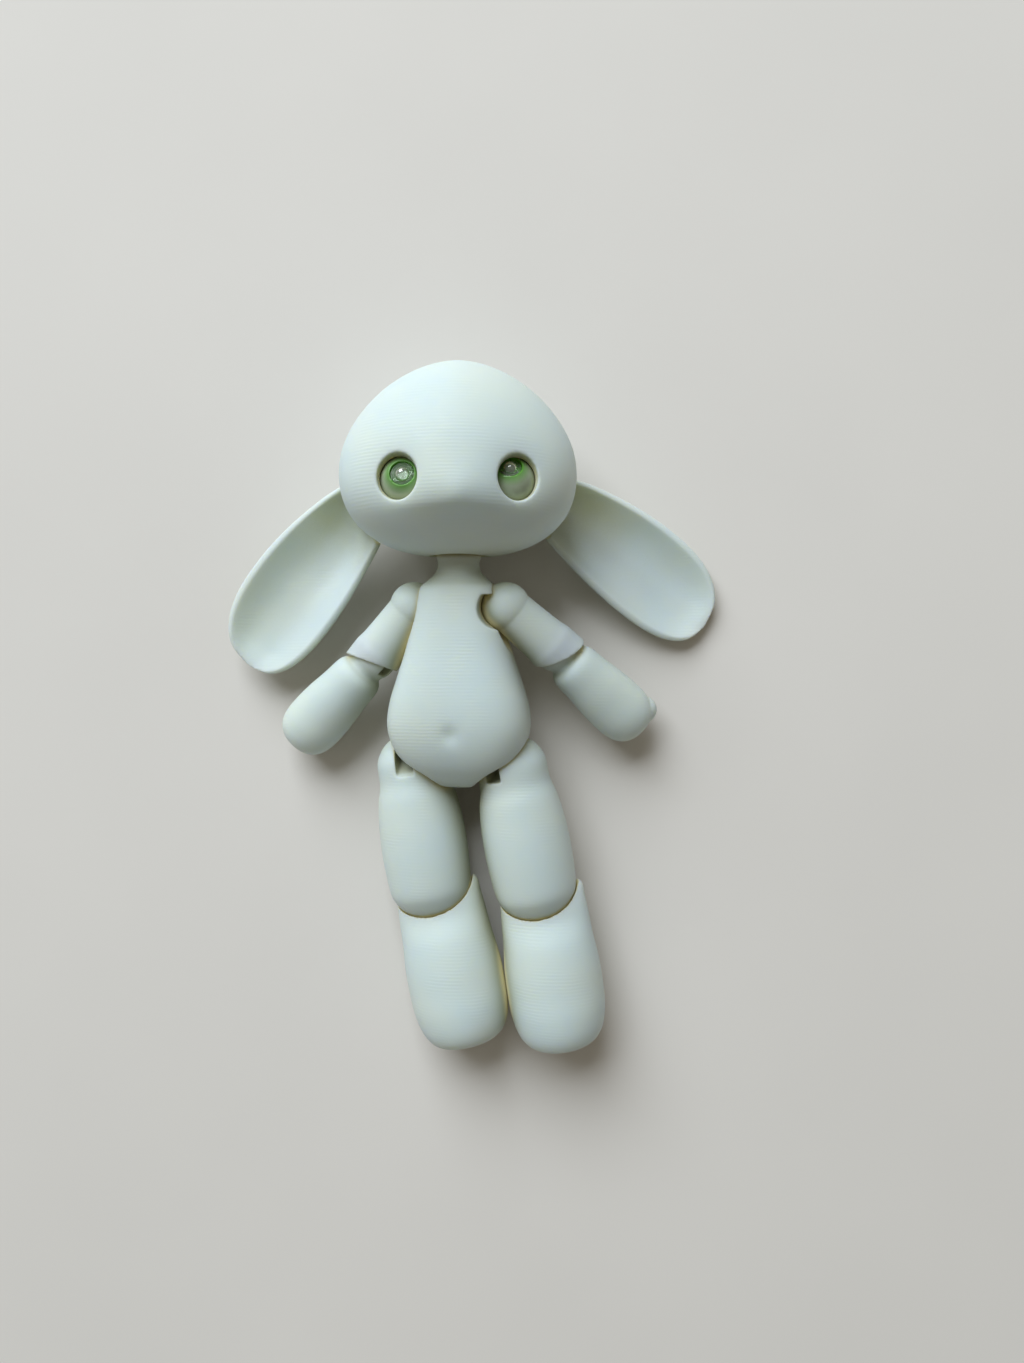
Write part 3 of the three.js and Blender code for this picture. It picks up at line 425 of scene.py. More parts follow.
def torso_skin(turn, t):
    """Squarish ovals stacked up a smooth pear that ends in the neck.

    Each is the row's width times the turn's cosine, and its front or back depth times the sine,
    both raised to a power that grows to one at the neck. The navel is a bell-shaped dent.
    """
    width, front, back, height = through(TORSO_ROWS, 1 - t)
    power = 2 / (2 + TORSO_SQUARENESS * (1 - smoothstep(height, *NECK_SHARES)))
    across, ahead = np.cos(turn), np.sin(turn)
    across = np.sign(across) * np.abs(across) ** power
    ahead = np.sign(ahead) * np.abs(ahead) ** power
    depth = np.where(ahead > 0, front * TORSO_FRONT, back * TORSO_BACK)
    x = -width * TORSO_HALF_WIDTH * across
    y = height * (TORSO_BELOW_HIPS + TORSO_ABOVE_HIPS) - TORSO_BELOW_HIPS
    reach = np.hypot(x, y - NAVEL_HEIGHT) / NAVEL_RADIUS
    dent = np.where(ahead > 0, NAVEL_DEPTH * np.exp(-reach ** 2), 0)
    return np.stack([x, y, depth * ahead - dent], -1)


def armhole(s):
    """The cone in the torso's side that a leaning arm sweeps as it swings round its cord.

    Its depth grows with the radius by the tangent of the lean, and the arm's clear waist takes
    its own sine from the radius and its cosine from the depth.
    """
    clear, lean = ARM_WAIST + JOINT_GAP, math.radians(ARMHOLE_LEAN)

    def across(r):
        return (r - clear * math.sin(lean)) * math.tan(lean) - clear * math.cos(lean)

    low = across(SHOULDER_BALL)
    outline = [(0, low), (SHOULDER_BALL, low), (ARMHOLE_REACH, across(ARMHOLE_REACH)),
               (ARMHOLE_REACH, ARMHOLE_REACH), (0, ARMHOLE_REACH)]
    place = turned_frame(Vector((s * SHOULDER[0], SHOULDER[1], -SHOULDER[2])), euler(z=-90 * s))
    return moved(lathe(outline[::-1]), place)


def torso_mesh():
    """The pear with its neck ball, and with its sockets, bores and one notch cut out."""
    cuts = []
    radius, drop, ahead = THIGH_RELIEF
    shoulders = [(s * SHOULDER[0], SHOULDER[1], -SHOULDER[2]) for s in (-1, 1)]
    for s, shoulder in zip((-1, 1), shoulders):
        x, y, z = s * HIP[0], HIP[1], -HIP[2]
        cuts += [
            ball(SHOULDER_BALL + JOINT_GAP, shoulder), armhole(s),
            ball(HIP_BALL + JOINT_GAP, (x, y, z)), ball(radius, (x, y - drop, z + ahead)),
            bar(HIP_BORE, (x, y, z), (x, HIP_BALL + HIP_BORE, z)),
        ]
    cuts += [
        bar(ARM_BORE, *shoulders),
        bar(NECK_BORE, (0, NECK_BORE_FOOT, 0), (0, NECK_PIVOT * 1.5, 0)), notch(),
    ]
    neck_ball = ball(NECK_BALL, (0, NECK_PIVOT, 0))
    return cast(combined(skin(torso_skin, *TORSO_GRID), [neck_ball], cuts))


def notch():
    """The window in the chest before the left shoulder's ball, with a level upper edge."""
    across, up, behind = SHOULDER
    window = bar(NOTCH_RADIUS, (across, up, -behind), (across, up, TORSO_FRONT * 2))
    tall = TORSO_FRONT * 4
    above = block((tall, tall, tall), (across, up + NOTCH_TOP + tall / 2, 0))
    return combined(window, cuts=[above])


def upper_arm_mesh(side):
    """A ball that runs on into a cone with a cupped end, its rim cut at a slant.

    The profile is an arc of the ball's radius down to the waist, then a cubic curve out to the
    end's radius, and it is turned about the arm.
    """
    s, steps = side["s"], 40
    waist = math.pi - math.asin(ARM_WAIST / SHOULDER_BALL)
    angles = np.linspace(0, waist, steps)
    arc = np.stack([SHOULDER_BALL * np.sin(angles), SHOULDER_BALL * np.cos(angles)], -1)
    arc[0] = (0, SHOULDER_BALL)
    end = -UPPER_ARM_LENGTH - ELBOW_RIM_REACH
    start = tuple(arc[-1])
    rows = [start, ((ARM_WAIST + ARM_END) / 2, (end - SHOULDER_BALL) / 2),
            (ARM_END, end + ELBOW_RIM_REACH * 2), (ARM_END, end - OVERRUN)]
    slope = np.stack(through(rows, np.linspace(0, 1, steps)), -1)[1:]
    outline = np.concatenate([arc, slope, [(0, end - OVERRUN)]])
    elbow = Vector((0, -UPPER_ARM_LENGTH, 0))
    wide = UPPER_ARM_LENGTH * 2
    turn = euler(y=side["elbow_turn"]) @ euler(x=-ELBOW_RIM_TILT)
    rim = moved(block((wide, wide, wide), (0, -wide / 2 - ELBOW_RIM_REACH, 0), turn),
                Matrix.Translation(elbow))
    arm = leaning(side["arm_lean"], side["arm_drop"])
    torso_turned = arm.inverted() @ euler(TORSO_PITCH, -TORSO_TURN)
    reach = SHOULDER_BALL + OVERRUN + SLOT_FLOOR
    slot = block((reach, SHOULDER_SLOT[1], SHOULDER_SLOT[0]), (-s * (reach / 2 - SLOT_FLOOR), 0, 0),
                 torso_turned)
    cuts = [ball(ELBOW_BALL + JOINT_GAP, elbow), rim, slot, bar(BORE, (0, 0, 0), elbow)]
    return cast(combined(lathe(outline), cuts=cuts), ARM_GRAIN)


def forearm_skin(turn, t):
    """Rings along a ball, a groove and a mitten.

    Each is the row's radius times the turn's cosine and sine, the sine flattened to the hand.
    """
    rows = [*cap_rows(ELBOW_BALL, FOREARM_RADIUS, FOREARM_LENGTH, ELBOW_ANGLES),
            (FOREARM_NECK / FOREARM_RADIUS, FOREARM_NECK_SHARE), *FOREARM_ROWS]
    radius, height = through(rows, t)
    flat = 1 - (1 - HAND_DEPTH) * smoothstep(height, *HAND_SHARES)
    x = -radius * FOREARM_RADIUS * np.cos(turn)
    z = radius * FOREARM_RADIUS * np.sin(turn) * flat
    return np.stack([x, -height * FOREARM_LENGTH, z], -1)


def forearm_mesh(side):
    """The mitten with its thumb, and with its slot, bore and pinhole cut out."""
    s = side["s"]
    thumb = euler(y=s * side["thumb_turn"]) @ Vector((s * FOREARM_RADIUS * THUMB_ACROSS, 0, 0))
    thumb.y = -FOREARM_LENGTH * THUMB_ALONG
    pin = -FOREARM_LENGTH * WRIST_PIN_SHARE
    cuts = [
        front_slot(FOREARM_SLOT, ELBOW_BALL + OVERRUN, side["elbow_turn"]),
        bar(BORE, (0, 0, 0), (0, pin, 0)),
        bar(PIN_RADIUS + SEAT_GAP, (0, pin, -FOREARM_RADIUS - OVERRUN), (0, pin, PIN_RADIUS * 3)),
    ]
    return cast(combined(skin(forearm_skin), [ball(THUMB_RADIUS, thumb)], cuts), ARM_GRAIN)


def thigh_skin(turn, t):
    """Rings along a hip ball, a full thigh and a knee ball.

    Each is the row's radius times the turn's cosine and sine, the sine flattened past the hip.
    """
    hip = cap_rows(HIP_BALL, THIGH_RADIUS, THIGH_LENGTH, HIP_ANGLES)
    knee = cap_rows(KNEE_BALL, THIGH_RADIUS, -THIGH_LENGTH, KNEE_ANGLES)
    rows = [*hip, *THIGH_ROWS, *((r, h + 1) for r, h in knee)]
    radius, height = through(rows, t)
    flat = 1 - (1 - THIGH_DEPTH) * smoothstep(height, *THIGH_SHARES)
    x = -radius * THIGH_RADIUS * np.cos(turn)
    z = radius * THIGH_RADIUS * np.sin(turn) * flat
    return np.stack([x, -height * THIGH_LENGTH, z], -1)


def thigh_mesh(side):
    """The thigh with its slots and bore cut out; the hip's slot keeps a sloped floor, and its cord
    is given room in the ball as the hip flexes."""
    knee_slot = front_slot(HIP_SLOT, KNEE_BALL + OVERRUN, side["knee_turn"], -1)
    hip_slot = front_slot(HIP_SLOT, HIP_BALL + OVERRUN, side["hip_slot_turn"])
    tilted = euler(y=side["hip_slot_turn"]) @ euler(x=HIP_FILL_TILT)
    size = HIP_FILL_SIZE
    fill = block((size, size, size), (0, side["hip_fill"] - size / 2, 0), tilted)
    cuts = [
        combined(hip_slot, cuts=[fill]), bar(BORE, (0, HIP_BALL, 0), (0, -THIGH_LENGTH, 0)),
        moved(knee_slot, Matrix.Translation((0, -THIGH_LENGTH, 0))),
    ]
    cord = Vector((0, HIP_BALL * CORD_REACH_SHARE, 0))
    cuts += [bar(BORE + SEAT_GAP, (0, 0, 0), euler(x=flex) @ cord) for flex in CORD_SWEEP]
    return cast(combined(skin(thigh_skin), cuts=cuts))


def shin_skin(turn, t):
    """Ovals from the knee's rim down to a blunt foot.

    Each is the row's width times the turn's cosine, and its front or back depth times the sine.
    """
    width, front, back, height = through(SHIN_ROWS, t)
    ahead = np.sin(turn)
    depth = np.where(ahead > 0, front * SHIN_FRONT, back * SHIN_BACK)
    x = -width * SHIN_HALF_WIDTH * np.cos(turn) + SHIN_OFFSET
    return np.stack([x, -height * SHIN_LENGTH, depth * ahead], -1)


def shin_mesh():
    """The lower leg with its knee cup, flat sole, bore and pinhole cut out."""
    pin = ANKLE_PIN - SHIN_LENGTH
    wide = SHIN_HALF_WIDTH * 3
    cuts = [
        ball(KNEE_BALL + JOINT_GAP), ball(*KNEE_RELIEF),
        block((wide, wide, wide), (0, -SHIN_LENGTH + SOLE_FLAT - wide / 2, 0)),
        bar(BORE, (0, 0, 0), (0, pin, 0)),
        bar(PIN_RADIUS + SEAT_GAP, (0, pin, -SHIN_BACK - OVERRUN), (0, pin, PIN_RADIUS * 3)),
    ]
    return cast(combined(skin(shin_skin), cuts=cuts))


def swell(x, y, feature):
    """A soft hill: its height times e to minus the squares of the distances over their spreads."""
    across, up, wide, above, below, reach = feature
    dx = (np.abs(x) / HEAD_HALF_WIDTH - across) / wide
    dy = y / HEAD_HALF_WIDTH - up
    dy = dy / np.where(dy > 0, above, below)
    return reach * np.exp(-dx ** 2 - dy ** 2)


def head_skin(inset):
    """An egg whose power changes from crown to chin, with the face's hills pushed out of it.

    Each direction reaches to where its three shares of the egg's half sizes, raised to the power,
    add up to one.
    """
    def where(turn, t):
        ring = np.sin(np.pi * t)
        ring[(t == 0) | (t == 1)] = 0
        x, y, z = -np.cos(turn) * ring, np.cos(np.pi * t), np.sin(turn) * ring
        power = HEAD_POWER - HEAD_POWER_CHANGE * np.tanh(HEAD_POWER_RATE * y)
        up = np.where(y > 0, HEAD_UP, HEAD_DOWN)
        ahead = np.where(z > 0, HEAD_FRONT, HEAD_BACK)
        total = (np.abs(x / HEAD_HALF_WIDTH) ** power + np.abs(y / up) ** power
                 + np.abs(z / ahead) ** power)
        reach = total ** (-1 / power) - inset
        point = np.stack([x * reach, y * reach, z * reach], -1)
        if inset <= 0:
            hills = sum(swell(point[..., 0], point[..., 1], f) for f in FACE_HILLS)
            point[..., 2] += smoothstep(z, *FACE_SHARES) * hills
        return point + np.array(HEAD_CENTRE)
    return where


def behind_seam(gap):
    """All that lies behind the leaning plane in which the cap parts from the shell."""
    wide = HEAD_HALF_WIDTH * 3
    size, centre = (wide, wide, wide), (0, 0, -wide / 2 - CAP_BEHIND - gap)
    return moved(block(size, centre, euler(x=CAP_LEAN)), Matrix.Translation(HEAD_CENTRE))


def in_head(s, spot):
    """A place across, below and ahead of the head's centre, on one side."""
    across, below, ahead = spot
    return Vector((s * across, -below, ahead)) + Vector(HEAD_CENTRE)


def ear_spot(s):
    return in_head(s, (EAR_CENTRE[0], EAR_CENTRE[1], -EAR_CENTRE[2]))


def in_cap(surface):
    """The same surface, leant with the cap's plane about the head's centre."""
    return moved(surface, turned_frame(Vector(HEAD_CENTRE), euler(x=CAP_LEAN)))


def magnet_pocket(s, shift):
    """A round recess on both sides of the seam, or of the cap's own face where it is shifted."""
    half = MAGNET_THICKNESS + MAGNET_GAP
    start = Vector((s * MAGNET_SPREAD, 0, -CAP_BEHIND + shift - half))
    return in_cap(bar(MAGNET_RADIUS + MAGNET_GAP, start, start + Vector((0, 0, half * 2))))


def magnet_swell(s):
    """A low swelling that keeps the cap's wall whole over its magnet."""
    middle = (s * MAGNET_SPREAD, 0, -CAP_BEHIND - SEAM_GAP - MAGNET_THICKNESS / 2)
    return in_cap(ball(MAGNET_SWELL, middle))


def eye_opening(s):
    """An oval tunnel into the face, as wide as the lids leave and flared outside them."""
    across, up = EYE_OPENING
    far = 1 + EYE_FLARE * (HEAD_FRONT - EYE_LID)
    outline = [(0, HEAD_FRONT), (far, HEAD_FRONT), (1, EYE_LID), (1, 0), (0, 0)]
    vertices, faces = moved(lathe(outline, around=72), turned_frame(Vector(), euler(x=90)))
    tunnel = vertices * np.array([across, up, 1]), faces
    middle = in_head(s, EYE_CENTRE) + Vector((s * EYE_OPENING_OUTWARD, 0, 0))
    return moved(tunnel, turned_frame(middle, euler(y=s * EYE_SPLAY)))


def head_meshes():
    """The head's wall with its neck cup and ear bosses, hollowed, opened and cut at its seam."""
    cup = NECK_BALL + JOINT_GAP
    outer, hollow = skin(head_skin(0), *HEAD_GRID), skin(head_skin(HEAD_WALL))
    ears = [ball(EAR_BALL + JOINT_GAP + CUP_WALL, ear_spot(s)) for s in (-1, 1)]
    bosses = combined(ball(cup + CUP_WALL), ears, keep=outer)
    mouth = [(0, 0), (cup, 0), (cup + NECK_FLARE, -cup * 2), (0, -cup * 2)]
    cuts = [
        ball(cup), lathe(mouth), bar(NECK_BORE, (0, 0, 0), (0, cup + CUP_WALL + OVERRUN, 0)),
    ]
    for side in SIDES.values():
        s, ear = side["s"], ear_spot(side["s"])
        way = leaning(side["ear_lean"], side["ear_drop"]) @ Vector((0, -1, 0)) * EAR_BALL * 4
        cuts += [
            ball(EAR_BALL + JOINT_GAP, ear), bar(EAR_STEM + EAR_MOUTH, ear, ear + way),
            bar(BORE, ear, ear - Vector((s * EAR_CENTRE[0], 0, 0))),
            ball(EYE_RADIUS + SEAT_GAP, in_head(s, EYE_CENTRE)), eye_opening(s),
        ]
    whole = combined(combined(outer, cuts=[hollow]), [bosses], cuts)
    fixed = [magnet_pocket(s, 0) for s in (-1, 1)]
    loose = [magnet_pocket(s, -SEAM_GAP) for s in (-1, 1)]
    swells = [magnet_swell(s) for s in (-1, 1)]
    shell = cast(combined(whole, cuts=[behind_seam(0), *fixed]), softness=SHELL_SOFTNESS)
    cap = cast(combined(whole, swells, loose, behind_seam(SEAM_GAP)), CAP_GRAIN)
    return shell, cap


def ear_skin(s):
    """A blade with a rolled rim round a hollow, bowed a little outwards by half a sine wave.

    It is the row's width times the turn's cosine across and a power of its sine through. The
    hollow falls off from the middle as one less a power of the distance, itself raised again.
    """
    fall, edge = EAR_HOLLOW_POWERS

    def where(turn, t):
        width, thick, scoop, height = through(EAR_ROWS, t)
        across = -np.cos(turn)
        deep = np.where(np.sin(turn) > 0, EAR_SCOOP_FRONT, EAR_SCOOP_BACK)
        inner = np.minimum(np.abs(across) / EAR_RIM, 1)
        hollow = scoop * deep * (1 - inner ** fall) ** edge
        x = across * width * EAR_HALF_WIDTH + s * EAR_BOW * np.sin(np.pi * t)
        face = np.sign(np.sin(turn)) * np.abs(np.sin(turn)) ** EAR_FACE_POWER
        z = 0.5 * thick * EAR_THICKNESS * face - hollow
        return np.stack([x, -height * EAR_LENGTH, z], -1)
    return where


def ear_mesh(name):
    """The blade on its ball, with room cut at its root for the head at each end of its flap."""
    s = SIDES[name]["s"]
    rest = ear_frame(name).inverted() @ head_frame()
    cuts = []
    for flap in (-EAR_FLAP, 0, EAR_FLAP):
        turned = Matrix.Rotation(math.radians(flap), 4, "X") @ rest
        cuts.append(moved(skin(head_skin(-EAR_ROOT_GAP), *EAR_ROOT_GRID), turned))
    stem = [ball(EAR_BALL), bar(EAR_STEM, (0, 0, 0), (0, -EAR_LENGTH * EAR_STEM_SHARE, 0))]
    blade = combined(skin(ear_skin(s)), cuts=cuts)
    return cast(combined(blade, stem), EAR_GRAIN, EAR_SOFTNESS)


def eye_frame(name):
    side = SIDES[name]
    gaze = euler(-side["gaze_up"], side["gaze_across"])
    return head_frame() @ turned_frame(in_head(side["s"], EYE_CENTRE), gaze)


def eye_ball_mesh():
    """A ball with a round pocket in its front for the iris."""
    back = EYE_RADIUS - IRIS_DEPTH - IRIS_THICKNESS
    pocket = bar(IRIS_RADIUS + SEAT_GAP / 2, (0, 0, back), (0, 0, EYE_RADIUS + OVERRUN))
    return cast(combined(ball(EYE_RADIUS), cuts=[pocket]), EYE_GRAIN, EYE_SOFTNESS)


def bead_outline(back, steps=24):
    """From the middle of a flat flange's back round its edge and over a ball's cap, whose radii
    and heights are its angles' sines and cosines."""
    step = back + BEAD_FLANGE
    foot = math.acos(BEAD_FLANGE / BEAD_RADIUS)
    round_top = [
        (BEAD_RADIUS * math.sin(a), back + BEAD_RADIUS * math.cos(a))
        for a in np.linspace(foot, 0, steps)
    ]
    round_top[-1] = (0, back + BEAD_RADIUS)
    return [(0, back), (IRIS_RADIUS, back), (IRIS_RADIUS, step), *round_top]


def disc_mesh(name, outline):
    """A disc turned about the eye's own axis, with its distance from the axis kept as its UV map."""
    vertices, faces = lathe(outline, around=64)
    vertices = vertices @ np.array(Matrix.Rotation(math.pi / 2, 3, "X")).T
    mesh = bpy.data.meshes.new(name)
    mesh.from_pydata(vertices.tolist(), [], faces)
    corners = np.empty(len(mesh.loops), int)
    mesh.loops.foreach_get("vertex_index", corners)
    at = vertices[corners]
    radius = np.hypot(at[:, 0], at[:, 1]) / IRIS_RADIUS
    turn = np.arctan2(at[:, 1], at[:, 0]) / (2 * np.pi) + 0.5
    layer = mesh.uv_layers.new(name="Rings")
    layer.data.foreach_set("uv", np.stack([turn, radius], -1).ravel())
    return mesh


# Materials

MADE = {}


def material_for(key, make):
    """Each finish is made once and shared by the pieces that have it."""
    if key not in MADE:
        MADE[key] = make()
    return MADE[key]


def new_material(name):
    material = bpy.data.materials.new(name)
    material.use_nodes = True
    tree = material.node_tree
    return material, tree, tree.nodes["Principled BSDF"]


def add(tree, kind, inputs=None, **settings):
    """One node with its settings and inputs, where an input may be a value or another output."""
    node = tree.nodes.new(kind)
    for key, value in settings.items():
        setattr(node, key, value)
    for key, value in (inputs or {}).items():
        if isinstance(value, bpy.types.NodeSocket):
            tree.links.new(value, node.inputs[key])
        else:
            node.inputs[key].default_value = value
    return node


def object_place(tree):
    """The place on the object, in metres, that most patterns follow."""
    return add(tree, "ShaderNodeTexCoord").outputs["Object"]


def ramp(tree, value, stops):
    """A colour that runs through the stops as the value rises."""
    node = add(tree, "ShaderNodeValToRGB", {"Fac": value})
    elements = node.color_ramp.elements
    while len(elements) < len(stops):
        elements.new(0.5)
    for element, (position, colour) in zip(elements, stops):
        element.position = position
        element.color = (*colour, 1)
    return node.outputs["Color"]


def span(tree, value, low, high, to_low, to_high):
    """The value carried from one range to another, and held at its ends."""
    inputs = {"Value": value, "From Min": low, "From Max": high, "To Min": to_low, "To Max": to_high}
    return add(tree, "ShaderNodeMapRange", inputs).outputs["Result"]


def blend(tree, share, first, second, mode="MIX"):
    """The first colour with a share of the second mixed into it or multiplied with it."""
    # The node's colour sockets share their names with others, so they are taken by their places.
    inputs = {0: share, 6: first, 7: second}
    return add(tree, "ShaderNodeMix", inputs, data_type="RGBA", blend_type=mode).outputs[2]


def noise(tree, place, scale, detail=3, roughness=0.5):
    inputs = {"Vector": place, "Scale": scale, "Detail": detail, "Roughness": roughness}
    return add(tree, "ShaderNodeTexNoise", inputs).outputs["Fac"]


def bump(tree, height, strength, distance, normal=None):
    inputs = {"Height": height, "Strength": strength, "Distance": distance}
    if normal is not None:
        inputs["Normal"] = normal
    return add(tree, "ShaderNodeBump", inputs).outputs["Normal"]


def openness(tree, reach):
    """How free each place is of surfaces within reach, from 0 in a crack to 1."""
    return add(tree, "ShaderNodeAmbientOcclusion", {"Distance": reach}, samples=8).outputs["AO"]


def resin_material():
    """Cast resin: a cool pale skin in clouds, with painted shade in warmer olive and ivory tints in
    cracks, slots and wide hollows, and faint print layers.
    """
    look = bpy.context.scene.doll_look
    material, tree, shader = new_material("Cast resin")
    place = object_place(tree)
    cool, warm, deep = (tuple(c) for c in (look.resin_cool, look.resin_warm, look.resin_crack_shade))
    cloud = noise(tree, place, 140, 3)
    tint = ramp(tree, cloud, [(0.35, cool), (0.65, warm)])
    # Painted shade: the colour turns to the recessed tint in cracks and slots, and to the hollows tint
    # in wide hollows such as the ear bowls, under the chin and near the floor, as far as each place is
    # closed in.
    crack_shade = span(tree, openness(tree, CRACK_SHADE_REACH), 0.25, 0.8, 1, 0)
    hollow = span(tree, openness(tree, HOLLOW_SHADE_REACH), 0.35, 0.92, 1, 0)
    hollow_shade = blend(tree, 1.0, tint, (*look.resin_hollow_shade, 1), "MULTIPLY")
    colour = blend(tree, crack_shade, blend(tree, hollow, tint, hollow_shade), (*deep, 1))
    tree.links.new(colour, shader.inputs["Base Color"])
    # The wave's bands repeat every 2 pi / (20 * scale).
    layers = add(tree, "ShaderNodeTexWave", {
        "Vector": place, "Scale": 2 * math.pi / (20 * look.layer_pitch), "Distortion": 1.2,
        "Detail": 2.0, "Detail Scale": 0.6,
    }, bands_direction="Y").outputs["Fac"]
    patches = span(tree, noise(tree, place, 260, 2), 0.45, 0.7, 0.15, 1)
    lines = add(tree, "ShaderNodeMath", {0: layers, 1: patches}, operation="MULTIPLY").outputs[0]
    lined = bump(tree, lines, 0.35, look.layer_depth)
    grain = bump(tree, noise(tree, place, 5200, 4, 0.6), 0.16, 0.00002, lined)
    tree.links.new(grain, shader.inputs["Normal"])
    tree.links.new(span(tree, noise(tree, place, 900, 4), 0.3, 0.7, 0.5, 0.68),
                   shader.inputs["Roughness"])
    shader.inputs["Subsurface Weight"].default_value = 0.55
    shader.inputs["Subsurface Radius"].default_value = (1.0, 0.95, 0.6)
    shader.inputs["Subsurface Scale"].default_value = 0.0017
    shader.inputs["Specular IOR Level"].default_value = 0.35
    return material


def elastic_material():
    """Braided elastic: fine slanting ribs with a soft sheen."""
    material, tree, shader = new_material("Braided elastic")
    place = object_place(tree)
    ribs = add(tree, "ShaderNodeTexWave", {"Vector": place, "Scale": 900.0, "Distortion": 1.5},
               bands_direction="DIAGONAL").outputs["Fac"]
    tree.links.new(ramp(tree, ribs, [(0.2, (0.62, 0.58, 0.47)), (0.8, (0.87, 0.84, 0.74))]),
                   shader.inputs["Base Color"])
    tree.links.new(bump(tree, ribs, 0.5, 0.00006), shader.inputs["Normal"])
    tree.links.new(span(tree, ribs, 0, 1, 0.85, 0.65), shader.inputs["Roughness"])
    return material


def metal_material(name, colour, worn, low, high):
    """Metal with a fine grain and slightly duller, darker patches."""
    material, tree, shader = new_material(name)
    place = object_place(tree)
    patches = noise(tree, place, 1500, 4)
    tree.links.new(ramp(tree, patches, [(0.35, colour), (0.7, worn)]), shader.inputs["Base Color"])
    tree.links.new(span(tree, patches, 0.3, 0.7, low, high), shader.inputs["Roughness"])
    tree.links.new(bump(tree, noise(tree, place, 9000, 2), 0.12, 0.00002), shader.inputs["Normal"])
    shader.inputs["Metallic"].default_value = 1
    return material


def putty_material():
    """Setting putty: soft dents and a few stained spots."""
    material, tree, shader = new_material("Eye putty")
    place = object_place(tree)
    dents = noise(tree, place, 1200, 5)
    tree.links.new(ramp(tree, dents, [(0.3, (0.6, 0.56, 0.44)), (0.7, (0.8, 0.77, 0.66))]),
                   shader.inputs["Base Color"])
    tree.links.new(bump(tree, dents, 0.6, 0.0001), shader.inputs["Normal"])
    tree.links.new(span(tree, dents, 0.3, 0.7, 0.7, 0.9), shader.inputs["Roughness"])
    return material


def eye_white_material(name):
    """A smoky eyeball that takes up the iris's green close to it."""
    look = bpy.context.scene.doll_look
    material, tree, shader = new_material(f"Eye white {name}")
    spot = eye_frame(name) @ Vector((0, 0, EYE_RADIUS - IRIS_DEPTH)) * MM
    reach = 1 / (IRIS_RADIUS * 2.2 * MM)
    near = add(tree, "ShaderNodeMapping", {
        "Vector": object_place(tree), "Location": tuple(-v * reach for v in spot),
        "Scale": (reach, reach, reach),
    }).outputs["Vector"]
    glow = add(tree, "ShaderNodeTexGradient", {"Vector": near}, gradient_type="SPHERICAL")
    green, grey = tuple(look.iris_light), tuple(look.eye_grey)
    tint = ramp(tree, glow.outputs["Fac"], [(0.2, grey), (0.5, green)])
    cloud = noise(tree, object_place(tree), 900, 3)
    shade = span(tree, cloud, 0.3, 0.7, 0.9, 1.05)
    tree.links.new(blend(tree, 1.0, tint, shade, "MULTIPLY"), shader.inputs["Base Color"])
    tree.links.new(span(tree, cloud, 0.3, 0.7, 0.12, 0.22), shader.inputs["Roughness"])
    tree.links.new(bump(tree, cloud, 0.05, 0.00002), shader.inputs["Normal"])
    shader.inputs["Subsurface Weight"].default_value = 0.2
    shader.inputs["Subsurface Radius"].default_value = (0.7, 1.0, 0.6)
    shader.inputs["Subsurface Scale"].default_value = 0.0006
    return material


def iris_material():
    """Rings from a grey pupil through dark green to a light green rim, with fine spokes."""
    look = bpy.context.scene.doll_look
    material, tree, shader = new_material("Iris disc")
    uv = add(tree, "ShaderNodeUVMap", uv_map="Rings").outputs["UV"]
    parts = add(tree, "ShaderNodeSeparateXYZ", {"Vector": uv})
    light, dark, pupil = (tuple(c) for c in (look.iris_light, look.iris_dark, look.pupil))
    rings = ramp(tree, parts.outputs["Y"], [
        (0.0, pupil), (0.5, pupil), (0.66, dark), (0.8, dark), (0.93, light), (1.0, light),
    ])
    stretched = add(tree, "ShaderNodeMapping", {"Vector": uv, "Scale": (46.0, 1.5, 1.0)})
    spokes = noise(tree, stretched.outputs["Vector"], 1.0, 3)
    shade = span(tree, spokes, 0.3, 0.7, 0.72, 1.15)
    tree.links.new(blend(tree, 1.0, rings, shade, "MULTIPLY"), shader.inputs["Base Color"])
    tree.links.new(span(tree, spokes, 0.3, 0.7, 0.25, 0.4), shader.inputs["Roughness"])
    tree.links.new(bump(tree, spokes, 0.1, 0.00003), shader.inputs["Normal"])
    return material


def lens_material():
    """Clear polished dome with faint smears."""
    material, tree, shader = new_material("Clear dome")
    place = object_place(tree)
    smears = noise(tree, place, 700, 3)
    tree.links.new(span(tree, smears, 0.4, 0.8, 0.01, 0.06), shader.inputs["Roughness"])
    tree.links.new(bump(tree, smears, 0.02, 0.00001), shader.inputs["Normal"])
    tree.links.new(ramp(tree, smears, [(0.3, (0.7, 0.82, 0.7)), (0.8, (0.6, 0.74, 0.6))]),
                   shader.inputs["Base Color"])
    shader.inputs["Transmission Weight"].default_value = 0.8
    shader.inputs["IOR"].default_value = 1.4
    shader.inputs["Coat Weight"].default_value = 1
    shader.inputs["Coat IOR"].default_value = 2.1
    return material


def floor_material():
    """A pale plain floor with barely visible mottling."""
    material, tree, shader = new_material("Floor")
    look = bpy.context.scene.doll_look
    base = tuple(look.floor)
    mottle = noise(tree, object_place(tree), 30, 3)
    shade = tuple(v * 0.97 for v in base)
    tree.links.new(ramp(tree, mottle, [(0.3, base), (0.7, shade)]), shader.inputs["Base Color"])
    shader.inputs["Roughness"].default_value = 0.9
    return material


def resin():
    return material_for("resin", resin_material)


def finish_limb(part, name, mesh):
    finish_piece(f"{part}_skin_{name}", mesh, limb_frame(name, part), f"{part}_{name}", resin())


# Settings

def colour_property(name, description, default):
    return FloatVectorProperty(
        name=name, description=description, default=default, subtype="COLOR", min=0, max=1,
    )


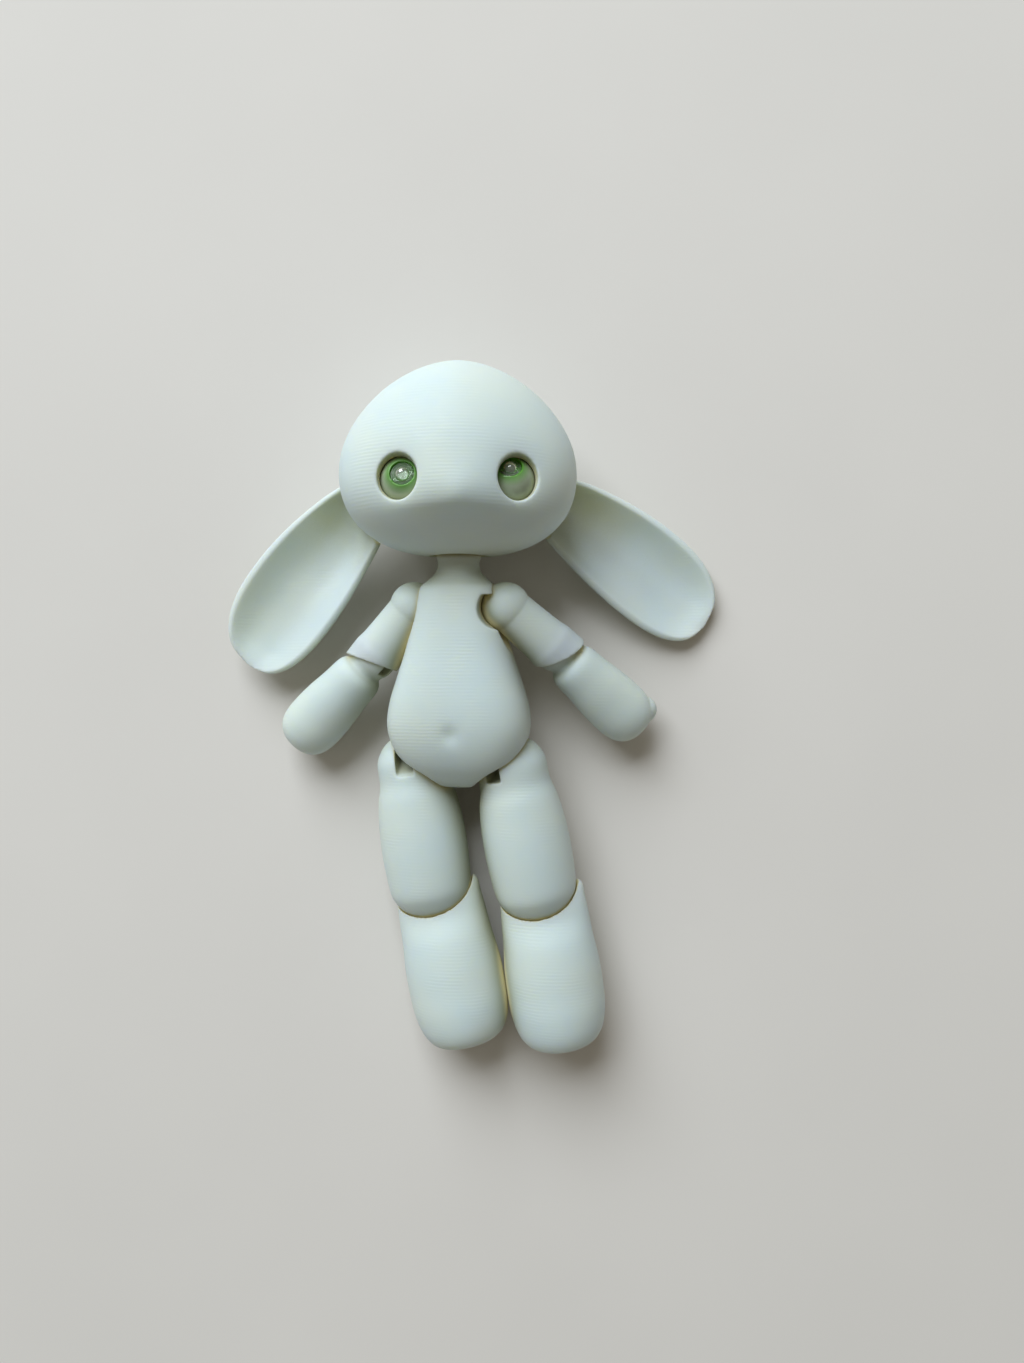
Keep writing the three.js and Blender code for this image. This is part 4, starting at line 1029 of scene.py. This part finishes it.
class DollLook(bpy.types.PropertyGroup):
    coarseness: FloatProperty(
        name="Coarseness", description="How much larger than usual the skins' faces are",
        default=1, min=0.5, max=4, subtype="FACTOR",
    )
    layer_pitch: FloatProperty(
        name="Layer pitch", description="Distance between two printed layers",
        default=0.00034, unit="LENGTH", precision=5,
    )
    layer_depth: FloatProperty(
        name="Layer depth", description="Height of one printed layer's edge",
        default=0.00003, unit="LENGTH", precision=6,
    )
    resin_cool: colour_property("Resin, cool", "Resin in cooler clouds", (0.65, 0.77, 0.795))
    resin_warm: colour_property("Resin, warm", "Resin in warmer clouds", (0.69, 0.785, 0.76))
    # The recessed and hollows tints are painted shade, laid into cracks, slots and wide hollows.
    resin_crack_shade: colour_property("Resin, recessed", "Resin in slots and gaps", (0.78, 0.74, 0.5))
    resin_hollow_shade: colour_property("Resin, hollows", "Tint of wide hollows", (0.6, 0.56, 0.42))
    eye_grey: colour_property("Eye white", "Smoky eyeball", (0.4, 0.48, 0.36))
    iris_light: colour_property("Iris, light", "Outer ring of the iris", (0.09, 0.32, 0.02))
    iris_dark: colour_property("Iris, dark", "Ring round the pupil", (0.022, 0.1, 0.006))
    pupil: colour_property("Pupil", "Grey pupil", (0.2, 0.29, 0.23))
    floor: colour_property("Floor", "Colour of the floor", (0.8, 0.78, 0.76))


class DollStudio(bpy.types.PropertyGroup):
    key_power: FloatProperty(
        name="Key light", description="Power of the large lamp up and to the left",
        default=10.0, unit="POWER",
    )
    key_size: FloatProperty(
        name="Key size", description="Edge of the key light; larger is softer",
        default=0.7, unit="LENGTH",
    )
    key_place: FloatVectorProperty(
        name="Key place", description="Where the key light stands",
        default=(-0.3, 0.65, 0.6), subtype="XYZ", unit="LENGTH",
    )
    key_colour: colour_property("Key colour", "Colour of the large lamp", (0.91, 0.97, 1))
    world_level: FloatProperty(
        name="Room light", description="Strength of the even light from all round",
        default=0.19, min=0, max=1, subtype="FACTOR",
    )
    world_colour: colour_property("Room colour", "Colour of the even light", (1, 0.9, 0.72))
    camera_height: FloatProperty(
        name="Camera height", description="Camera above the floor", default=0.112, unit="LENGTH",
    )
    camera_place: FloatVectorProperty(
        name="Camera place", description="Camera across and along the floor",
        default=(0.00404, 0.00319), size=2, subtype="XYZ", unit="LENGTH",
    )
    lens: FloatProperty(
        name="Lens", description="Focal length on a 36 mm wide sensor", default=36, unit="CAMERA",
    )


# Operators

class DollOperator:
    bl_options = {"REGISTER", "UNDO"}

    @classmethod
    def poll(cls, context):
        return context.scene is not None


class DOLL_OT_torso(DollOperator, bpy.types.Operator):
    """Adds the torso with its neck, sockets and notch"""
    bl_idname = "doll.torso"
    bl_label = "Torso"

    def execute(self, context):
        finish_piece("torso_skin", torso_mesh(), torso_frame(), "torso", resin())
        return {"FINISHED"}


class DOLL_OT_arms(DollOperator, bpy.types.Operator):
    """Adds both upper arms and forearms"""
    bl_idname = "doll.arms"
    bl_label = "Arms"

    def execute(self, context):
        for name, side in SIDES.items():
            finish_limb("upper_arm", name, upper_arm_mesh(side))
            finish_limb("forearm", name, forearm_mesh(side))
        return {"FINISHED"}


class DOLL_OT_legs(DollOperator, bpy.types.Operator):
    """Adds both thighs and lower legs"""
    bl_idname = "doll.legs"
    bl_label = "Legs"

    def execute(self, context):
        for name, side in SIDES.items():
            finish_limb("thigh", name, thigh_mesh(side))
            finish_limb("lower_leg", name, shin_mesh())
        return {"FINISHED"}


class DOLL_OT_head(DollOperator, bpy.types.Operator):
    """Adds the head shell and its cap"""
    bl_idname = "doll.head"
    bl_label = "Head"

    def execute(self, context):
        shell, cap = head_meshes()
        finish_piece("head_shell_skin", shell, head_frame(), "head_shell", resin())
        finish_piece("head_cap_skin", cap, head_frame(), "head_cap", resin())
        return {"FINISHED"}


class DOLL_OT_ears(DollOperator, bpy.types.Operator):
    """Adds both scooped ears"""
    bl_idname = "doll.ears"
    bl_label = "Ears"

    def execute(self, context):
        for name in SIDES:
            finish_piece(f"ear_skin_{name}", ear_mesh(name), ear_frame(name), f"ear_{name}", resin())
        return {"FINISHED"}


class DOLL_OT_eyes(DollOperator, bpy.types.Operator):
    """Adds both eyeballs with their irises and clear domes"""
    bl_idname = "doll.eyes"
    bl_label = "Eyes"

    def execute(self, context):
        face = EYE_RADIUS - IRIS_DEPTH
        back = face - IRIS_THICKNESS + SEAT_GAP / 2
        rings = [(0, back), (IRIS_RADIUS, back)]
        rings += [(IRIS_RADIUS * share, face) for share in np.linspace(1, 0, 12)]
        bead = bead_outline(face + SEAT_GAP / 2)
        for name in SIDES:
            place = eye_frame(name)
            white = material_for(f"white_{name}", lambda: eye_white_material(name))
            finish_piece(f"eye_ball_{name}", eye_ball_mesh(), place, f"eye_white_{name}", white)
            iris, dome = disc_mesh("iris", rings), disc_mesh("dome", bead)
            finish_piece(f"iris_disc_{name}", iris, place, f"eye_iris_{name}",
                         material_for("iris", iris_material))
            finish_piece(f"clear_dome_{name}", dome, place, f"eye_dome_{name}",
                         material_for("lens", lens_material))
        return {"FINISHED"}


class DOLL_OT_fittings(DollOperator, bpy.types.Operator):
    """Gives the elastic, pins, hook, magnets and putty their finishes"""
    bl_idname = "doll.fittings"
    bl_label = "Fittings"

    def execute(self, context):
        finishes = {
            "elastic": lambda: material_for("elastic", elastic_material),
            "steel": lambda: material_for("steel", lambda: metal_material(
                "Drawn steel", (0.62, 0.63, 0.65), (0.5, 0.5, 0.5), 0.25, 0.42)),
            "magnet": lambda: material_for("magnet", lambda: metal_material(
                "Nickel plate", (0.75, 0.74, 0.7), (0.62, 0.6, 0.55), 0.12, 0.3)),
            "putty": lambda: material_for("putty", putty_material),
        }
        for node, piece in frame["nodes"].items():
            finish = finishes.get(SLOTS[node])
            if finish:
                for slot in piece.material_slots:
                    slot.material = finish()
        return {"FINISHED"}


class DOLL_OT_stage(DollOperator, bpy.types.Operator):
    """Adds the floor, the lights and the camera straight overhead"""
    bl_idname = "doll.stage"
    bl_label = "Stage"

    def execute(self, context):
        studio = context.scene.doll_studio
        half = FLOOR_HALF
        vertices = [(-half, -half, 0), (half, -half, 0), (half, half, 0), (-half, half, 0)]
        mesh = bpy.data.meshes.new("floor")
        mesh.from_pydata(vertices, [], [(0, 1, 2, 3)])
        mesh.materials.append(floor_material())
        floor = bpy.data.objects.new("floor", mesh)
        context.scene.collection.objects.link(floor)

        world = bpy.data.worlds.new("Room")
        world.use_nodes = True
        background = world.node_tree.nodes["Background"]
        background.inputs["Color"].default_value = (*studio.world_colour, 1)
        background.inputs["Strength"].default_value = studio.world_level
        context.scene.world = world

        lamp = bpy.data.lights.new("key", "AREA")
        lamp.energy = studio.key_power
        lamp.size = studio.key_size
        lamp.color = studio.key_colour
        key = bpy.data.objects.new("key", lamp)
        key.location = studio.key_place
        key.rotation_euler = (-Vector(key.location)).to_track_quat("-Z", "Y").to_euler()
        context.scene.collection.objects.link(key)

        lens = bpy.data.cameras.new("camera")
        lens.sensor_fit = "HORIZONTAL"
        lens.sensor_width = SENSOR_WIDTH
        lens.lens = studio.lens
        lens.clip_start = CLIP_START
        camera = bpy.data.objects.new("camera", lens)
        camera.location = (*studio.camera_place, studio.camera_height)
        context.scene.collection.objects.link(camera)
        context.scene.camera = camera
        context.scene.view_settings.view_transform = "Standard"
        return {"FINISHED"}


STEPS = (
    DOLL_OT_torso, DOLL_OT_arms, DOLL_OT_legs, DOLL_OT_head, DOLL_OT_ears, DOLL_OT_eyes,
    DOLL_OT_fittings, DOLL_OT_stage,
)


class DOLL_PT_panel(bpy.types.Panel):
    """Lists the doll's settings and building steps"""
    bl_idname = "DOLL_PT_panel"
    bl_label = "Doll"
    bl_space_type = "VIEW_3D"
    bl_region_type = "UI"
    bl_category = "Doll"

    def draw(self, context):
        for group in (context.scene.doll_look, context.scene.doll_studio):
            for key in type(group).__annotations__:
                self.layout.prop(group, key)
        for step in STEPS:
            self.layout.operator(step.bl_idname)


CLASSES = (DollLook, DollStudio, *STEPS, DOLL_PT_panel)


def register():
    for cls in CLASSES:
        bpy.utils.register_class(cls)
    bpy.types.Scene.doll_look = PointerProperty(type=DollLook)
    bpy.types.Scene.doll_studio = PointerProperty(type=DollStudio)


def unregister():
    del bpy.types.Scene.doll_look
    del bpy.types.Scene.doll_studio
    for cls in reversed(CLASSES):
        bpy.utils.unregister_class(cls)


def main():
    register()
    for step in STEPS:
        getattr(bpy.ops.doll, step.bl_idname.removeprefix("doll."))()


if __name__ == "__main__":
    main()
